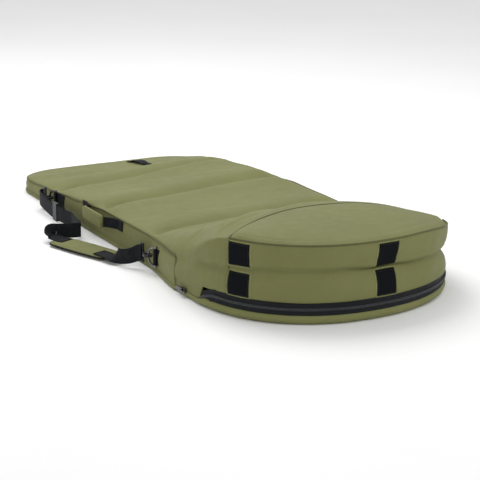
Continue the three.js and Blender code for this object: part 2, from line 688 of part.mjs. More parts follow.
// ---- shoulder strap, lying on the floor beside the left wall ----
// Webbing through a list of [x, y, z of its middle, tilt]: 0 degrees lies flat and 90 stands on edge.
function strip(points, width) {
  return loft(
    points.map(([x, y, z, tilt], i) => {
      const [px, py] = points[Math.max(0, i - 1)];
      const [nx, ny] = points[Math.min(points.length - 1, i + 1)];
      const along = new THREE.Vector3(nx - px, ny - py, 0).normalize();
      const t = THREE.MathUtils.degToRad(tilt);
      const across = new THREE.Vector3(along.y * Math.cos(t), -along.x * Math.cos(t), Math.sin(t));
      const face = new THREE.Vector3().crossVectors(along, across).multiplyScalar(WEB / 2);
      across.multiplyScalar(width / 2);
      const corner = (u, v) => new THREE.Vector3(x, y, z).addScaledVector(across, u).addScaledVector(face, v);
      return [corner(-1, -1), corner(1, -1), corner(1, 1), corner(-1, 1)].map((c) => c.toArray());
    }),
  );
}

function strap(frontEye, rearEye) {
  const padMiddle = [-357, 168];
  const padTurn = Math.atan2(172, -64);
  const corner = 14;
  const outline = new THREE.Shape();
  const [l, w] = [PAD.length / 2, PAD.width / 2];
  outline.moveTo(-l + corner, -w);
  outline.lineTo(l - corner, -w);
  outline.absarc(l - corner, -w + corner, corner, -Math.PI / 2, 0);
  outline.absarc(l - corner, w - corner, corner, 0, Math.PI / 2);
  outline.absarc(-l + corner, w - corner, corner, Math.PI / 2, Math.PI);
  outline.absarc(-l + corner, -w + corner, corner, Math.PI, 1.5 * Math.PI);
  add("shoulder_pad", extrude(outline, PAD.thickness, 4), OLIVE, ...padMiddle, 0, padTurn);
  const onPad = PAD.thickness + GAP + WEB / 2;
  const width = STRAP_WIDTH - 2;
  const onEdge = FLOOR_LIFT + width / 2;
  const beside = EYE.thickness / 2 + 2 * GAP + WEB / 2;
  // The front webbing lies on the pad, turns on edge past its end and runs up to the front hook's eye.
  const [ex, ey, ez] = frontEye;
  const front = [
    [-347, 108, onPad, 0],
    [-340, 82, onPad, 0],
    [-337.5, 68, onPad + 0.5, 0],
    [-336.5, 60, onPad + 2, 14],
    [-336, 52, onPad + 4.4, 30],
    [-335, 44, onPad + 7.3, 50],
    [-333, 35, onEdge, 70],
    [-329, 24, onEdge + 1, 86],
    [-318, 8, onEdge + 5, 90],
    [-306, -2, onEdge + 11, 90],
    [ex - beside, ey + 1, ez - 1, 90],
    [ex - beside, ey - EYE.length / 2, ez, 90],
  ];
  add("strap_front_webbing", strip(front, width), WEBBING);
  // The rear webbing is slack and stands on edge in folds between the rear hook's eye and the pad.
  const [rx, ry, rz] = rearEye;
  const rear = [
    [rx - beside, ry - EYE.length / 4, rz, 90],
    [rx - HOOK.outer - 7, ry - 16, rz - 2, 90],
    [...ADJUSTER_RUN[0], onEdge, 90],
    [...ADJUSTER_RUN[1], onEdge, 90],
    [-306, 360, onEdge, 90],
    [-308, 345, onEdge, 90],
    [-316, 300, onEdge, 90],
    [-319, 275, onEdge, 90],
    [-326, 266, onEdge, 90],
    [-348, 271, onEdge, 90],
    [-391, 284, onEdge, 90],
  ];
  add("strap_rear_webbing", strip(rear, width), WEBBING);
  const [[ax0, ay0], [ax1, ay1]] = ADJUSTER_RUN;
  const a = ADJUSTER;
  const frame = box(-a.length / 2, a.length / 2, -a.thickness / 2, a.thickness / 2, 0, a.height);
  const room = WEB / 2 + GAP;
  const slot = box(-a.length, a.length, -room, room, a.bar, a.height - a.bar);
  const turn = Math.atan2(ay1 - ay0, ax1 - ax0);
  const at = [(ax0 + ax1) / 2, (ay0 + ay1) / 2];
  add("strap_adjuster", cut(frame, slot), BLACK_PLASTIC, ...at, FLOOR_LIFT - a.bar - GAP, turn);
  // A short end of the webbing comes down on the pad's rear.
  const alongPad = (k) => [
    padMiddle[0] + Math.cos(padTurn) * k * l,
    padMiddle[1] + Math.sin(padTurn) * k * l,
  ];
  const tongue = [
    [...alongPad(0.62), onPad, 0],
    [...alongPad(0.95), onPad, 0],
    [...alongPad(1.12), onPad + 2, 0],
  ];
  add("strap_pad_tongue", strip(tongue, STRAP_WIDTH), WEBBING);
}

base();
bodyWalls();
bodyTop();
noseWalls();
shoulder();
cap();
patches();
zip();
handle();
haulStrap();
const ends = Object.entries(TABS).map(([name, tab]) => snapHook(name, ring(name, ringTab(name, tab))));
strap(...ends);

export default bag;
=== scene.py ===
"""A padded travel bag for a short board, lying flat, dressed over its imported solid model."""

from math import atan2, cos, exp, hypot, pi, radians, sin, sqrt

import bmesh
import bpy
from mathutils import Euler, Matrix, Vector, noise


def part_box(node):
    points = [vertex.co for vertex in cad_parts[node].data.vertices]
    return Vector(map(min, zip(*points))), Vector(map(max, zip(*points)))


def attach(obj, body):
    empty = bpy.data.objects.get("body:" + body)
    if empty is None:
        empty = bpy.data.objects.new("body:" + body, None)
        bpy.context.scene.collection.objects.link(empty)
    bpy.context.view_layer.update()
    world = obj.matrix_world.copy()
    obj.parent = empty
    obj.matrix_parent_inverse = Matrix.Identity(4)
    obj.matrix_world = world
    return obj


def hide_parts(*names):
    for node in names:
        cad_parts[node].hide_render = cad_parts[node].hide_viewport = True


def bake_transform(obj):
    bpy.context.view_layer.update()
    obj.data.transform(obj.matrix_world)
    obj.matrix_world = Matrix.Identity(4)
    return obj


bl_info = {
    "name": "Padded Board Bag",
    "version": (1, 0, 0),
    "blender": (4, 5, 0),
    "location": "3D View > Sidebar > Board Bag",
    "description": "Builds a padded board bag with its zip, gusset, handle and shoulder strap",
    "category": "Add Mesh",
}

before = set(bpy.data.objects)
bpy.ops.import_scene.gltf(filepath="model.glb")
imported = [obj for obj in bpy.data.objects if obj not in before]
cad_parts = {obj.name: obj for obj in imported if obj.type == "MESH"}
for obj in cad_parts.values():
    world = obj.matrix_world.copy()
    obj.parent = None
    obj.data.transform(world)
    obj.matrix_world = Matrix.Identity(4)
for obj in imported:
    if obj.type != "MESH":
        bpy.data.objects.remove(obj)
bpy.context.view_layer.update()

MM = 0.001

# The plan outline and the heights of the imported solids, in millimetres.
BODY_HALF = 276
NOSE_HALF = 300
FLARE_END = -200
NOSE_CENTRE = -265
NOSE_REACH = 275
NOSE_POWER = 2.2
LID_FOLD = -185.5
TAIL_END = 812
TAIL_CORNER = 112
CREASE_NOSE = 16
CREASE_MIDDLE = 312
CREASE_TAIL = 590
CAP_HEIGHT = 170
CAP_REAR = -246
CAP_DROP = 130
CAP_CORNER = 278
ZIP_NOSE = 34
ZIP_SIDE = 15


# ---------------------------------------------------------------- settings


class BagSizes(bpy.types.PropertyGroup):
    quilt: bpy.props.FloatProperty(
        name="Quilt rise",
        description="How far each padded panel swells between its creases",
        default=0.008,
        min=0.0,
        unit="LENGTH",
    )
    crease: bpy.props.FloatProperty(
        name="Crease depth",
        description="Depth of the soft creases across the body",
        default=0.010,
        min=0.0,
        unit="LENGTH",
    )
    pinch: bpy.props.FloatProperty(
        name="Gusset pinch",
        description="How far the gusset draws in at its crease, as a share of its usual depth",
        default=1.0,
        min=0.0,
        subtype="FACTOR",
    )
    padding: bpy.props.FloatProperty(
        name="Padding",
        description="Thickness of the padded cloth",
        default=0.011,
        min=0.001,
        unit="LENGTH",
    )
    tooth_pitch: bpy.props.FloatProperty(
        name="Zip pitch",
        description="Distance from one zip tooth to the next",
        default=0.0032,
        min=0.001,
        unit="LENGTH",
    )


class BagColours(bpy.types.PropertyGroup):
    cloth: bpy.props.FloatVectorProperty(
        name="Cloth",
        description="Colour of the woven outer cloth",
        default=(0.190, 0.196, 0.072),
        subtype="COLOR",
        size=3,
        min=0.0,
        max=1.0,
    )
    webbing: bpy.props.FloatVectorProperty(
        name="Webbing",
        description="Colour of the straps, tapes and hook-and-loop patches",
        default=(0.007, 0.008, 0.010),
        subtype="COLOR",
        size=3,
        min=0.0,
        max=1.0,
    )
    lining: bpy.props.FloatVectorProperty(
        name="Lining",
        description="Colour of the inner lining",
        default=(0.12, 0.125, 0.13),
        subtype="COLOR",
        size=3,
        min=0.0,
        max=1.0,
    )


# ---------------------------------------------------------------- small helpers


def clamp(t, low=0.0, high=1.0):
    return max(low, min(high, t))


def smooth(t):
    t = clamp(t)
    return t * t * (3 - 2 * t)


def mix(a, b, t):
    return a + (b - a) * t


def along(table, at):
    """The value at a place in a table of (place, value) pairs, turning smoothly between them."""
    if at <= table[0][0]:
        return table[0][1]
    for (a, va), (b, vb) in zip(table, table[1:]):
        if at <= b:
            return mix(va, vb, smooth((at - a) / (b - a)))
    return table[-1][1]


def bump(distance, width):
    return exp(-((distance / width) ** 2))


def ruffle(x, y, z, size, seed=0.0):
    return noise.noise(Vector((x / size + seed, y / size, z / size)))


def settle(x, y, z):
    """Height of the empty bag's cloth once it has slumped.

    It is lower at the nose's right corner and fuller along the right side.
    """
    share = smooth((z - 8) / 50)
    slump = 34 * clamp((x - 84) / 192) ** 2 * smooth((-30 - y) / 200)
    proud = along([(-60, 0), (120, 4), (300, 7), (450, 15), (590, 19), (690, 9), (780, 0)], y)
    return z + share * (proud * smooth((x + 120) / 330) - slump * z / 170)


def point(x, y, z):
    return Vector((x, y, settle(x, y, z))) * MM


def resample(points, step):
    lengths = [0.0]
    for (ax, ay), (bx, by) in zip(points, points[1:]):
        lengths.append(lengths[-1] + hypot(bx - ax, by - ay))
    count = max(2, round(lengths[-1] / step))
    out, i = [], 1
    for k in range(count + 1):
        s = lengths[-1] * k / count
        while i < len(points) - 1 and lengths[i] < s:
            i += 1
        t = (s - lengths[i - 1]) / max(1e-9, lengths[i] - lengths[i - 1])
        out.append(tuple(mix(points[i - 1][j], points[i][j], t) for j in (0, 1)))
    return out


# ---------------------------------------------------------------- outline


def half_width(y, inset=0.0):
    """Half the bag's width at y, that far in from its edge."""
    if y > TAIL_END - TAIL_CORNER:
        r = TAIL_CORNER - inset
        rise = min(r, y - (TAIL_END - TAIL_CORNER))
        return BODY_HALF - TAIL_CORNER + sqrt(max(0.0, r * r - rise * rise))
    if y >= NOSE_CENTRE:
        return mix(BODY_HALF, NOSE_HALF, smooth(y / FLARE_END)) - inset
    t = clamp((NOSE_CENTRE - y) / (NOSE_REACH - inset))
    return (NOSE_HALF - inset) * (1 - t**NOSE_POWER) ** (1 / NOSE_POWER)


def nose_outline():
    """The nose's edge from the left end of the lid's fold to its right end, evenly spaced."""
    side = [(half_width(y), y) for y in (LID_FOLD, -200, -220, -240)]
    front = []
    for i in range(241):
        t = pi * (i / 240 - 0.5)
        x = abs(sin(t)) ** (2 / NOSE_POWER) * (1 if t > 0 else -1)
        front.append((NOSE_HALF * x, NOSE_CENTRE - NOSE_REACH * abs(cos(t)) ** (2 / NOSE_POWER)))
    return resample([(-x, y) for x, y in side] + front + side[::-1], 5.0)


def tail_outline():
    """The body's edge from the left end of the lid's fold round the tail to its right end."""
    left = [(-half_width(y), y) for y in range(-180, TAIL_END - TAIL_CORNER, 10)]
    left.insert(0, (-half_width(LID_FOLD), LID_FOLD))
    corner = [
        (
            -(BODY_HALF - TAIL_CORNER) - TAIL_CORNER * cos(a),
            TAIL_END - TAIL_CORNER + TAIL_CORNER * sin(a),
        )
        for a in (pi / 2 * i / 24 for i in range(25))
    ]
    half = left + corner
    return resample(half + [(-x, y) for x, y in reversed(half)], 7.0)


class Edge:
    """An outline with its arc length, counted from its middle, and its outward direction."""

    def __init__(self, points):
        self.points = points
        self.s = [0.0]
        for (ax, ay), (bx, by) in zip(points, points[1:]):
            self.s.append(self.s[-1] + hypot(bx - ax, by - ay))
        middle = self.s[-1] / 2
        self.s = [s - middle for s in self.s]
        self.out = []
        centre = sum(y for _, y in points) / len(points)
        for i, (x, y) in enumerate(points):
            ax, ay = points[max(0, i - 1)]
            bx, by = points[min(len(points) - 1, i + 1)]
            n = hypot(bx - ax, by - ay)
            nx, ny = (by - ay) / n, -(bx - ax) / n
            if nx * x + ny * (y - centre) < 0:
                nx, ny = -nx, -ny
            self.out.append((nx, ny))

    def at(self, s):
        """Place and outward direction at an arc length."""
        s = clamp(s, self.s[0], self.s[-1])
        step = (self.s[-1] - self.s[0]) / (len(self.s) - 1)
        i = min(len(self.s) - 2, int((s - self.s[0]) / step))
        t = (s - self.s[i]) / step
        p = [mix(self.points[i][j], self.points[i + 1][j], t) for j in (0, 1)]
        n = [mix(self.out[i][j], self.out[i + 1][j], t) for j in (0, 1)]
        return p, n


NOSE = Edge(nose_outline())
TAIL = Edge(tail_outline())


def cap_rear(x):
    return CAP_REAR - CAP_DROP * min(1.0, abs(x) / CAP_CORNER) ** 1.9


CORNER_ARC = next(s for s, (x, y) in zip(NOSE.s, NOSE.points) if x < 0 and y < CAP_REAR - CAP_DROP)
SIDE_SEAM = [
    (-190, 76),
    (-120, 75),
    (0, 75),
    (230, 73),
    (312, 67),
    (430, 56),
    (590, 44),
    (700, 37),
    (812, 31),
]


def seam_height(y):
    """Height of the body's top seam, and of the line where the shoulder turns down the nose's side."""
    if y >= LID_FOLD:
        return along(SIDE_SEAM, y)
    return mix(76, 166, smooth((LID_FOLD - y) / (CAP_DROP - CAP_REAR + LID_FOLD)))


def zip_height(y):
    return mix(ZIP_SIDE, ZIP_NOSE, smooth((y + 275) / -70))


# ---------------------------------------------------------------- surfaces of the cloth

PANEL_TOP = [(0, 80), (312, 74), (590, 49), (700, 43), (812, 34)]


def crease_line(y0, slant, x):
    return y0 + slant * x + 3 * ruffle(x, y0, 0, 90)


def top_height(x, y, sizes):
    """Height of the quilted top and of the shoulder that rises to the cap."""
    w = half_width(y)
    d = max(0.0, w - 2.5 - abs(x))
    if y >= 0:
        mid = along(PANEL_TOP, y)
    else:
        t = smooth(min(1.0, y / cap_rear(x))) ** 0.9
        mid = mix(80, CAP_HEIGHT, t)
    edge = seam_height(y)
    reach = along([(-376, 18), (-330, 62), (-250, 92), (-185, 78), (-90, 60), (0, 34), (812, 26)], y)
    roll = sqrt(max(0.0, 1 - (1 - min(1.0, d / reach)) ** 2))
    z = mix(edge, mid, roll)
    # Creases: a narrow valley with a swell on each side, and a curl at the left end of each.
    swell = sizes.quilt / MM
    depth = sizes.crease / MM
    inner = smooth(d / 26)
    lines = [
        (CREASE_NOSE + 10, 0.05, 0.75, 20),
        (CREASE_MIDDLE, 0.105, 1.0, 24),
        (CREASE_TAIL, 0.115, 0.85, 24),
    ]
    for y0, slant, amount, wide in lines:
        curl = 26 * exp(-(x + w - 30) / 26) if x < 0 else 10 * exp(-(w - 30 - x) / 26)
        dy = y - (crease_line(y0, slant, x) - min(30, curl))
        sharp = along([(-276, 0.2), (-245, 0.9), (-205, 1.5), (-165, 1.0), (-60, 0.6), (276, 0.55)], x)
        z -= depth * amount * inner * (0.55 * sharp * bump(dy, 6.5) + 0.75 * bump(dy, wide))
        z += swell * amount * inner * 0.55 * (bump(dy - 46, 38) + bump(dy + 46, 38))
    # The shoulder's long folds fan out from the cap's left corner.
    if y < 60:
        rx, ry = x + 292, y + 330
        reach = hypot(rx, ry)
        angle = atan2(ry, rx)
        fade = smooth((60 - y) / 90) * smooth(reach / 90) * smooth((620 - reach) / 260)
        fade *= smooth((y - cap_rear(x)) / 40)
        folds = sin(angle * 21 + 1.4 * ruffle(x, y, 0, 160)) * bump(angle - 0.62, 0.36)
        z += 3.0 * fade * folds
        fold_angle = 0.86 + 0.1 * ruffle(x, y, 3, 200)
        z += 3.4 * fade * bump(angle - fold_angle, 0.07) - 2.2 * fade * bump(angle - fold_angle + 0.1, 0.05)
    # A small pinch on the left side of the shoulder.
    z -= 3.0 * bump(x + 262, 26) * bump(y + 205 - 0.2 * (x + 262), 5)
    # Slack in the cloth.
    z += inner * (1.5 * ruffle(x, y * 0.6, 0, 150, 4.0) + 0.7 * ruffle(x * 0.7, y, 0, 52, 9.0))
    z += 0.25 * inner * ruffle(x, y, 0, 17, 2.0)
    return z


GUSSET_PINCH = [
    (-520, 0),
    (-462, 0),
    (-428, 6),
    (-385, 6),
    (-317, 5),
    (-180, 4),
    (-110, 8),
    (-30, 17),
    (12, 20),
    (60, 16),
    (170, 8),
    (250, 13),
    (317, 20),
    (400, 17),
    (470, 6),
    (520, 0),
]
CREASE_RISE = [
    (-520, 84),
    (-460, 89),
    (-425, 91),
    (-375, 100),
    (-317, 109),
    (-250, 114),
    (-110, 114),
    (0, 109),
    (120, 105),
    (520, 104),
]


def nose_wall(s, z, sizes):
    """A point on the nose's upright cloth, at an arc length from its middle and a height."""
    (x, y), (nx, ny) = NOSE.at(s)
    low = zip_height(y) + 12
    pinch = along(GUSSET_PINCH, s) * sizes.pinch
    zc = along(CREASE_RISE, s) + 1.5 * ruffle(s, 0, 0, 60)
    side = smooth((abs(s) - 400) / 60)
    width = mix(9, 6, side) + 0.35 * pinch
    out = 3.2 * sin(pi * clamp((z - low) / max(1.0, zc - low))) * (1 - 0.5 * side)
    out += (2.6 * sin(pi * clamp((z - zc) / max(1.0, CAP_HEIGHT - zc)))) * (1 - side)
    drawn = bump(z - zc, width)
    soft = bump(z - zc, 26 + pinch)
    out -= pinch * (0.5 * drawn + 0.5 * soft)
    # The upper band hangs a little over a sharp fold.
    fold = z - zc - 1.5
    out -= (2.2 + 0.16 * pinch) * bump(fold, 3.2) * (1 - side)
    out += (1.0 + 0.14 * pinch) * bump(fold - 9, 6) * (1 - side)
    # Slack cloth, strongest over the zip and under the cap's seam.
    out += 1.6 * ruffle(s, z * 1.6, 0, 70, 5.0) + 0.8 * ruffle(s, z * 0.8, 0, 26, 7.0)
    hem = bump(z - low, 12)
    out += 0.9 * hem * ruffle(s, 0, 0, 18, 3.0)
    # Round the middle the fold closes, so that the cloth above it meets the cloth below.
    closed = bump(s - 12, 85)
    z_fold = 0.78 * closed * (z - zc) * bump(z - zc, 11)
    edge = smooth((z - low) / 6) * smooth((CAP_HEIGHT - z) / 5)
    out = out * mix(0.25, 1.0, edge) - 1.2 * (1 - edge)
    return x + nx * out, y + ny * out, z - z_fold


def cap_height(v, front, x):
    """Height of the cap between its rear seam, v = 0, and its front seam, v = 1.

    front is the way to the seam.
    """
    rise = sin(pi * clamp(v)) ** 0.8 * 8.0
    bevel = smooth(front / 30)
    lip = 3.0 * (1 - bevel) ** 2
    return CAP_HEIGHT + rise * mix(0.55, 1.0, bevel) - lip + 0.9 * ruffle(x, v * 260, 0, 80, 6.0)


# ---------------------------------------------------------------- meshes


def new_piece(name, bm, materials):
    mesh = bpy.data.meshes.new(name)
    bmesh.ops.recalc_face_normals(bm, faces=bm.faces)
    for face in bm.faces:
        face.smooth = True
    bm.to_mesh(mesh)
    bm.free()
    for material in materials:
        mesh.materials.append(material)
    piece = bpy.data.objects.new(name, mesh)
    bpy.context.scene.collection.objects.link(piece)
    return piece


def add_grid(bm, rows, closed_rows=False, closed_columns=False, material=0):
    made = [[bm.verts.new(p) for p in row] for row in rows]
    across = len(made[0])
    for i in range(len(made) - (0 if closed_rows else 1)):
        for k in range(across - (0 if closed_columns else 1)):
            a, b = made[i], made[(i + 1) % len(made)]
            face = bm.faces.new((a[k], a[(k + 1) % across], b[(k + 1) % across], b[k]))
            face.material_index = material
    return made


def grid_normals(rows):
    out = []
    for i, row in enumerate(rows):
        line = []
        for k, _ in enumerate(row):
            du = row[min(len(row) - 1, k + 1)] - row[max(0, k - 1)]
            dv = rows[min(len(rows) - 1, i + 1)][k] - rows[max(0, i - 1)][k]
            n = du.cross(dv)
            line.append(n.normalized() if n.length > 1e-12 else Vector((0, 0, 1)))
        out.append(line)
    return out


def add_sheet(bm, rows, thickness, towards):
    """A grid with a second face behind it; towards is a point on the side where the second face goes."""
    normals = grid_normals(rows)
    middle = rows[len(rows) // 2][len(rows[0]) // 2]
    n = normals[len(rows) // 2][len(rows[0]) // 2]
    sign = 1 if (Vector(towards) - middle).dot(n) > 0 else -1
    back = [[p + q * (sign * thickness) for p, q in zip(r, m)] for r, m in zip(rows, normals)]
    front_verts = add_grid(bm, rows)
    back_verts = add_grid(bm, back, material=1)
    loops = []
    for verts in (front_verts, back_verts):
        loops.append(
            verts[0]
            + [row[-1] for row in verts[1:]]
            + verts[-1][-2::-1]
            + [row[0] for row in verts[-2:0:-1]]
        )
    for i in range(len(loops[0])):
        j = (i + 1) % len(loops[0])
        bm.faces.new((loops[0][i], loops[0][j], loops[1][j], loops[1][i]))
    return front_verts


def add_tube(bm, points, radius, sides=8, flatten=1.0, closed=False, material=0):
    rows = []
    count = len(points)
    up = Vector((0, 0, 1))
    for i, p in enumerate(points):
        a = points[(i - 1) % count] if closed or i else points[0]
        b = points[(i + 1) % count] if closed or i < count - 1 else points[-1]
        t = (b - a).normalized()
        side = t.cross(up)
        side = side.normalized() if side.length > 1e-4 else Vector((1, 0, 0))
        lift = side.cross(t)
        rows.append(
            [
                p + side * (radius * cos(q)) + lift * (radius * flatten * sin(q))
                for q in (2 * pi * k / sides for k in range(sides))
            ]
        )
    made = add_grid(bm, rows, closed_rows=closed, closed_columns=True, material=material)
    if not closed:
        bm.faces.new(made[0]).material_index = material
        bm.faces.new(made[-1]).material_index = material


def add_slab(bm, centre, ax, ay, az, size, bevel=0.0, material=0):
    """A small block with soft edges, on its own three directions."""
    x, y, z = (s / 2 for s in size)
    b = min(bevel, x * 0.9, y * 0.9, z * 0.9)
    rows = []
    for level, shrink in ((-z, b), (-z + b, 0), (z - b, 0), (z, b)):
        u, v = x - shrink, y - shrink
        ring = [(-u, -v + b), (-u + b, -v), (u - b, -v), (u, -v + b)]
        ring += [(u, v - b), (u - b, v), (-u + b, v), (-u, v - b)]
        rows.append([centre + ax * p + ay * q + az * level for p, q in ring])
    made = add_grid(bm, rows, closed_columns=True, material=material)
    bm.faces.new(made[0]).material_index = material
    bm.faces.new(made[-1]).material_index = material


def web_rows(path, width, thickness):
    """Sections of flat webbing along (place, across) pairs: a flattened loop with round edges."""
    rows = []
    count = len(path)
    for i, (p, across) in enumerate(path):
        t = (path[min(count - 1, i + 1)][0] - path[max(0, i - 1)][0]).normalized()
        across = (across - t * across.dot(t)).normalized()
        face = t.cross(across)
        section = []
        half, h = width / 2, thickness / 2
        steps = 10
        for k in range(steps + 1):
            u = -1 + 2 * k / steps
            section.append(p + across * (u * (half - h * 0.6)) + face * h)
        section.append(p + across * half)
        for k in range(steps + 1):
            u = 1 - 2 * k / steps
            section.append(p + across * (u * (half - h * 0.6)) - face * h)
        section.append(p - across * half)
        rows.append(section)
    return rows


def add_webbing(bm, path, width, thickness):
    made = add_grid(bm, web_rows(path, width, thickness), closed_columns=True)
    bm.faces.new(made[0])
    bm.faces.new(made[-1])


def curve_through(points, steps=8):
    """A smooth run through a few places, each a tuple of any length."""
    out = []
    n = len(points)
    for i in range(n - 1):
        a, b, c, d = (points[clamp_index(i + k, n)] for k in (-1, 0, 1, 2))
        for j in range(steps):
            t = j / steps
            out.append(
                tuple(
                    0.5
                    * (
                        2 * q
                        + (r - p) * t
                        + (2 * p - 5 * q + 4 * r - s) * t * t
                        + (3 * q - p - 3 * r + s) * t**3
                    )
                    for p, q, r, s in zip(a, b, c, d)
                )
            )
    out.append(tuple(points[-1]))
    return out


def clamp_index(i, n):
    return max(0, min(n - 1, i))


# ---------------------------------------------------------------- finishes


class Finish:
    """A material being built: a principled shader with its own texture coordinates."""

    def __init__(self, name):
        self.material = bpy.data.materials.new(name)
        self.material.use_nodes = True
        self.tree = self.material.node_tree
        self.shader = self.tree.nodes["Principled BSDF"]
        self.place = self.node("ShaderNodeTexCoord").outputs["Object"]

    def node(self, kind, **settings):
        made = self.tree.nodes.new(kind)
        for key, value in settings.items():
            setattr(made, key, value)
        return made

    def link(self, a, b):
        self.tree.links.new(a, b)

    def noise(self, scale, detail):
        texture = self.node("ShaderNodeTexNoise")
        texture.inputs["Scale"].default_value = scale
        texture.inputs["Detail"].default_value = detail
        self.link(self.place, texture.inputs["Vector"])
        return texture.outputs["Fac"]

    def bands(self, direction, pitch):
        texture = self.node("ShaderNodeTexWave", wave_type="BANDS", bands_direction=direction)
        texture.inputs["Scale"].default_value = 2 * pi / (20 * pitch)
        texture.inputs["Distortion"].default_value = 0.4
        texture.inputs["Detail"].default_value = 1.0
        self.link(self.place, texture.inputs["Vector"])
        return texture.outputs["Fac"]

    def math(self, operation, a, b):
        made = self.node("ShaderNodeMath", operation=operation)
        for socket, value in zip(made.inputs, (a, b)):
            if isinstance(value, (int, float)):
                socket.default_value = value
            else:
                self.link(value, socket)
        return made.outputs[0]

    def spread(self, value, low, high):
        made = self.node("ShaderNodeMapRange")
        self.link(value, made.inputs["Value"])
        made.inputs["From Min"].default_value = 0.3
        made.inputs["From Max"].default_value = 0.7
        made.inputs["To Min"].default_value = low
        made.inputs["To Max"].default_value = high
        return made.outputs["Result"]

    def tone(self, value, dark, light, low=0.3, high=0.7):
        ramp = self.node("ShaderNodeValToRGB")
        ramp.color_ramp.elements[0].position = low
        ramp.color_ramp.elements[1].position = high
        ramp.color_ramp.elements[0].color = (*dark, 1)
        ramp.color_ramp.elements[1].color = (*light, 1)
        self.link(value, ramp.inputs["Fac"])
        return ramp.outputs["Color"]

    def multiply(self, a, b, amount=1.0):
        made = self.node("ShaderNodeMix", data_type="RGBA", blend_type="MULTIPLY")
        made.inputs["Factor"].default_value = amount
        self.link(a, made.inputs["A"])
        self.link(b, made.inputs["B"])
        return made.outputs["Result"]

    def relief(self, *layers):
        normal = None
        for height, distance, strength in layers:
            made = self.node("ShaderNodeBump")
            made.inputs["Distance"].default_value = distance
            made.inputs["Strength"].default_value = strength
            self.link(height, made.inputs["Height"])
            if normal:
                self.link(normal, made.inputs["Normal"])
            normal = made.outputs["Normal"]
        self.link(normal, self.shader.inputs["Normal"])


def shade(colour, k):
    return tuple(min(1.0, c * k) for c in colour)


def woven_cloth(name, colour, dust=0.06):
    """Coated nylon: a fine plain weave, small crumples and slightly dusty patches."""
    f = Finish(name)
    weave = f.math("MULTIPLY", f.bands("X", 0.0009), f.bands("Y", 0.0009))
    patches = f.tone(f.noise(7, 4), shade(colour, 1 - dust), shade(colour, 1 + dust))
    fibres = f.tone(f.noise(650, 2), (0.86, 0.86, 0.86), (1.0, 1.0, 1.0))
    f.link(f.multiply(patches, fibres), f.shader.inputs["Base Color"])
    f.link(f.spread(f.noise(40, 4), 0.58, 0.74), f.shader.inputs["Roughness"])
    f.shader.inputs["Sheen Weight"].default_value = 0.05
    f.shader.inputs["Sheen Roughness"].default_value = 0.4
    f.shader.inputs["Specular IOR Level"].default_value = 0.22
    f.relief((f.noise(30, 5), 0.0028, 0.25), (f.noise(170, 3), 0.0006, 0.3), (weave, 0.00016, 0.5))
    return f.material


def strap_webbing(name, colour):
    """Heavy webbing with close ribs."""
    f = Finish(name)
    ribs = f.math("ADD", f.bands("DIAGONAL", 0.0016), f.math("MULTIPLY", f.bands("Z", 0.0022), 0.6))
    tone = f.tone(f.noise(90, 4), shade(colour, 0.75), shade(colour, 1.5))
    f.link(tone, f.shader.inputs["Base Color"])
    f.link(f.spread(f.noise(300, 2), 0.55, 0.75), f.shader.inputs["Roughness"])
    f.shader.inputs["Specular IOR Level"].default_value = 0.14
    f.relief((f.noise(60, 3), 0.0008, 0.25), (ribs, 0.00035, 0.6))
    return f.material


def fuzzy_tape(name, colour):
    """Hook-and-loop tape: a dull, dense pile."""
    f = Finish(name)
    pile = f.noise(1500, 2)
    f.link(f.tone(pile, shade(colour, 0.5), shade(colour, 1.6)), f.shader.inputs["Base Color"])
    f.link(f.spread(f.noise(800, 1), 0.8, 0.98), f.shader.inputs["Roughness"])
    f.shader.inputs["Specular IOR Level"].default_value = 0.08
    f.relief((pile, 0.0008, 0.8))
    return f.material


def moulded_plastic(name, colour, roughness=0.38):
    f = Finish(name)
    f.link(f.tone(f.noise(160, 2), shade(colour, 0.85), shade(colour, 1.2)), f.shader.inputs["Base Color"])
    f.link(f.spread(f.noise(400, 3), roughness - 0.05, roughness + 0.1), f.shader.inputs["Roughness"])
    f.relief((f.noise(900, 2), 0.0002, 0.25))
    return f.material


def cast_metal(name, colour, roughness=0.28):
    """Coated zinc, worn brighter in small patches scattered at random."""
    f = Finish(name)
    f.link(f.tone(f.noise(240, 4), colour, shade(colour, 2.2), 0.45, 0.75), f.shader.inputs["Base Color"])
    f.shader.inputs["Metallic"].default_value = 1.0
    f.link(f.spread(f.noise(300, 3), roughness - 0.06, roughness + 0.12), f.shader.inputs["Roughness"])
    f.relief((f.noise(700, 2), 0.0002, 0.2))
    return f.material


def floor_finish(name):
    f = Finish(name)
    f.link(f.tone(f.noise(2, 2), (0.93, 0.93, 0.93), (0.95, 0.95, 0.95)), f.shader.inputs["Base Color"])
    f.shader.inputs["Roughness"].default_value = 0.9
    f.shader.inputs["Specular IOR Level"].default_value = 0.1
    return f.material


FINISHES = {}


def finishes():
    """Every finish of the bag, made once."""
    if not FINISHES:
        c = bpy.context.scene.bag_colours
        cloth, web = tuple(c.cloth), tuple(c.webbing)
        FINISHES.update(
            cloth=woven_cloth("olive_cloth", cloth),
            # Cloth darkened to 0.62 for the piping and seam tubes: painted seam shade, standing in for the
            # shadow line along each seam.
            piping=woven_cloth("olive_piping", shade(cloth, 0.62)),
            binding=woven_cloth("olive_binding", shade(cloth, 1.12)),
            lining=woven_cloth("grey_lining", tuple(c.lining), 0.1),
            webbing=strap_webbing("black_webbing", web),
            tape=woven_cloth("zip_tape", shade(web, 1.1), 0.2),
            pile=fuzzy_tape("hook_and_loop", shade(web, 0.8)),
            teeth=moulded_plastic("zip_coil", (0.05, 0.052, 0.056), 0.34),
            plastic=moulded_plastic("black_acetal", (0.013, 0.013, 0.015)),
            metal=cast_metal("black_zinc", (0.13, 0.13, 0.14)),
            thread=moulded_plastic("olive_thread", shade(cloth, 1.35), 0.6),
            dark_thread=moulded_plastic("black_thread", (0.02, 0.02, 0.022), 0.6),
        )
    return FINISHES


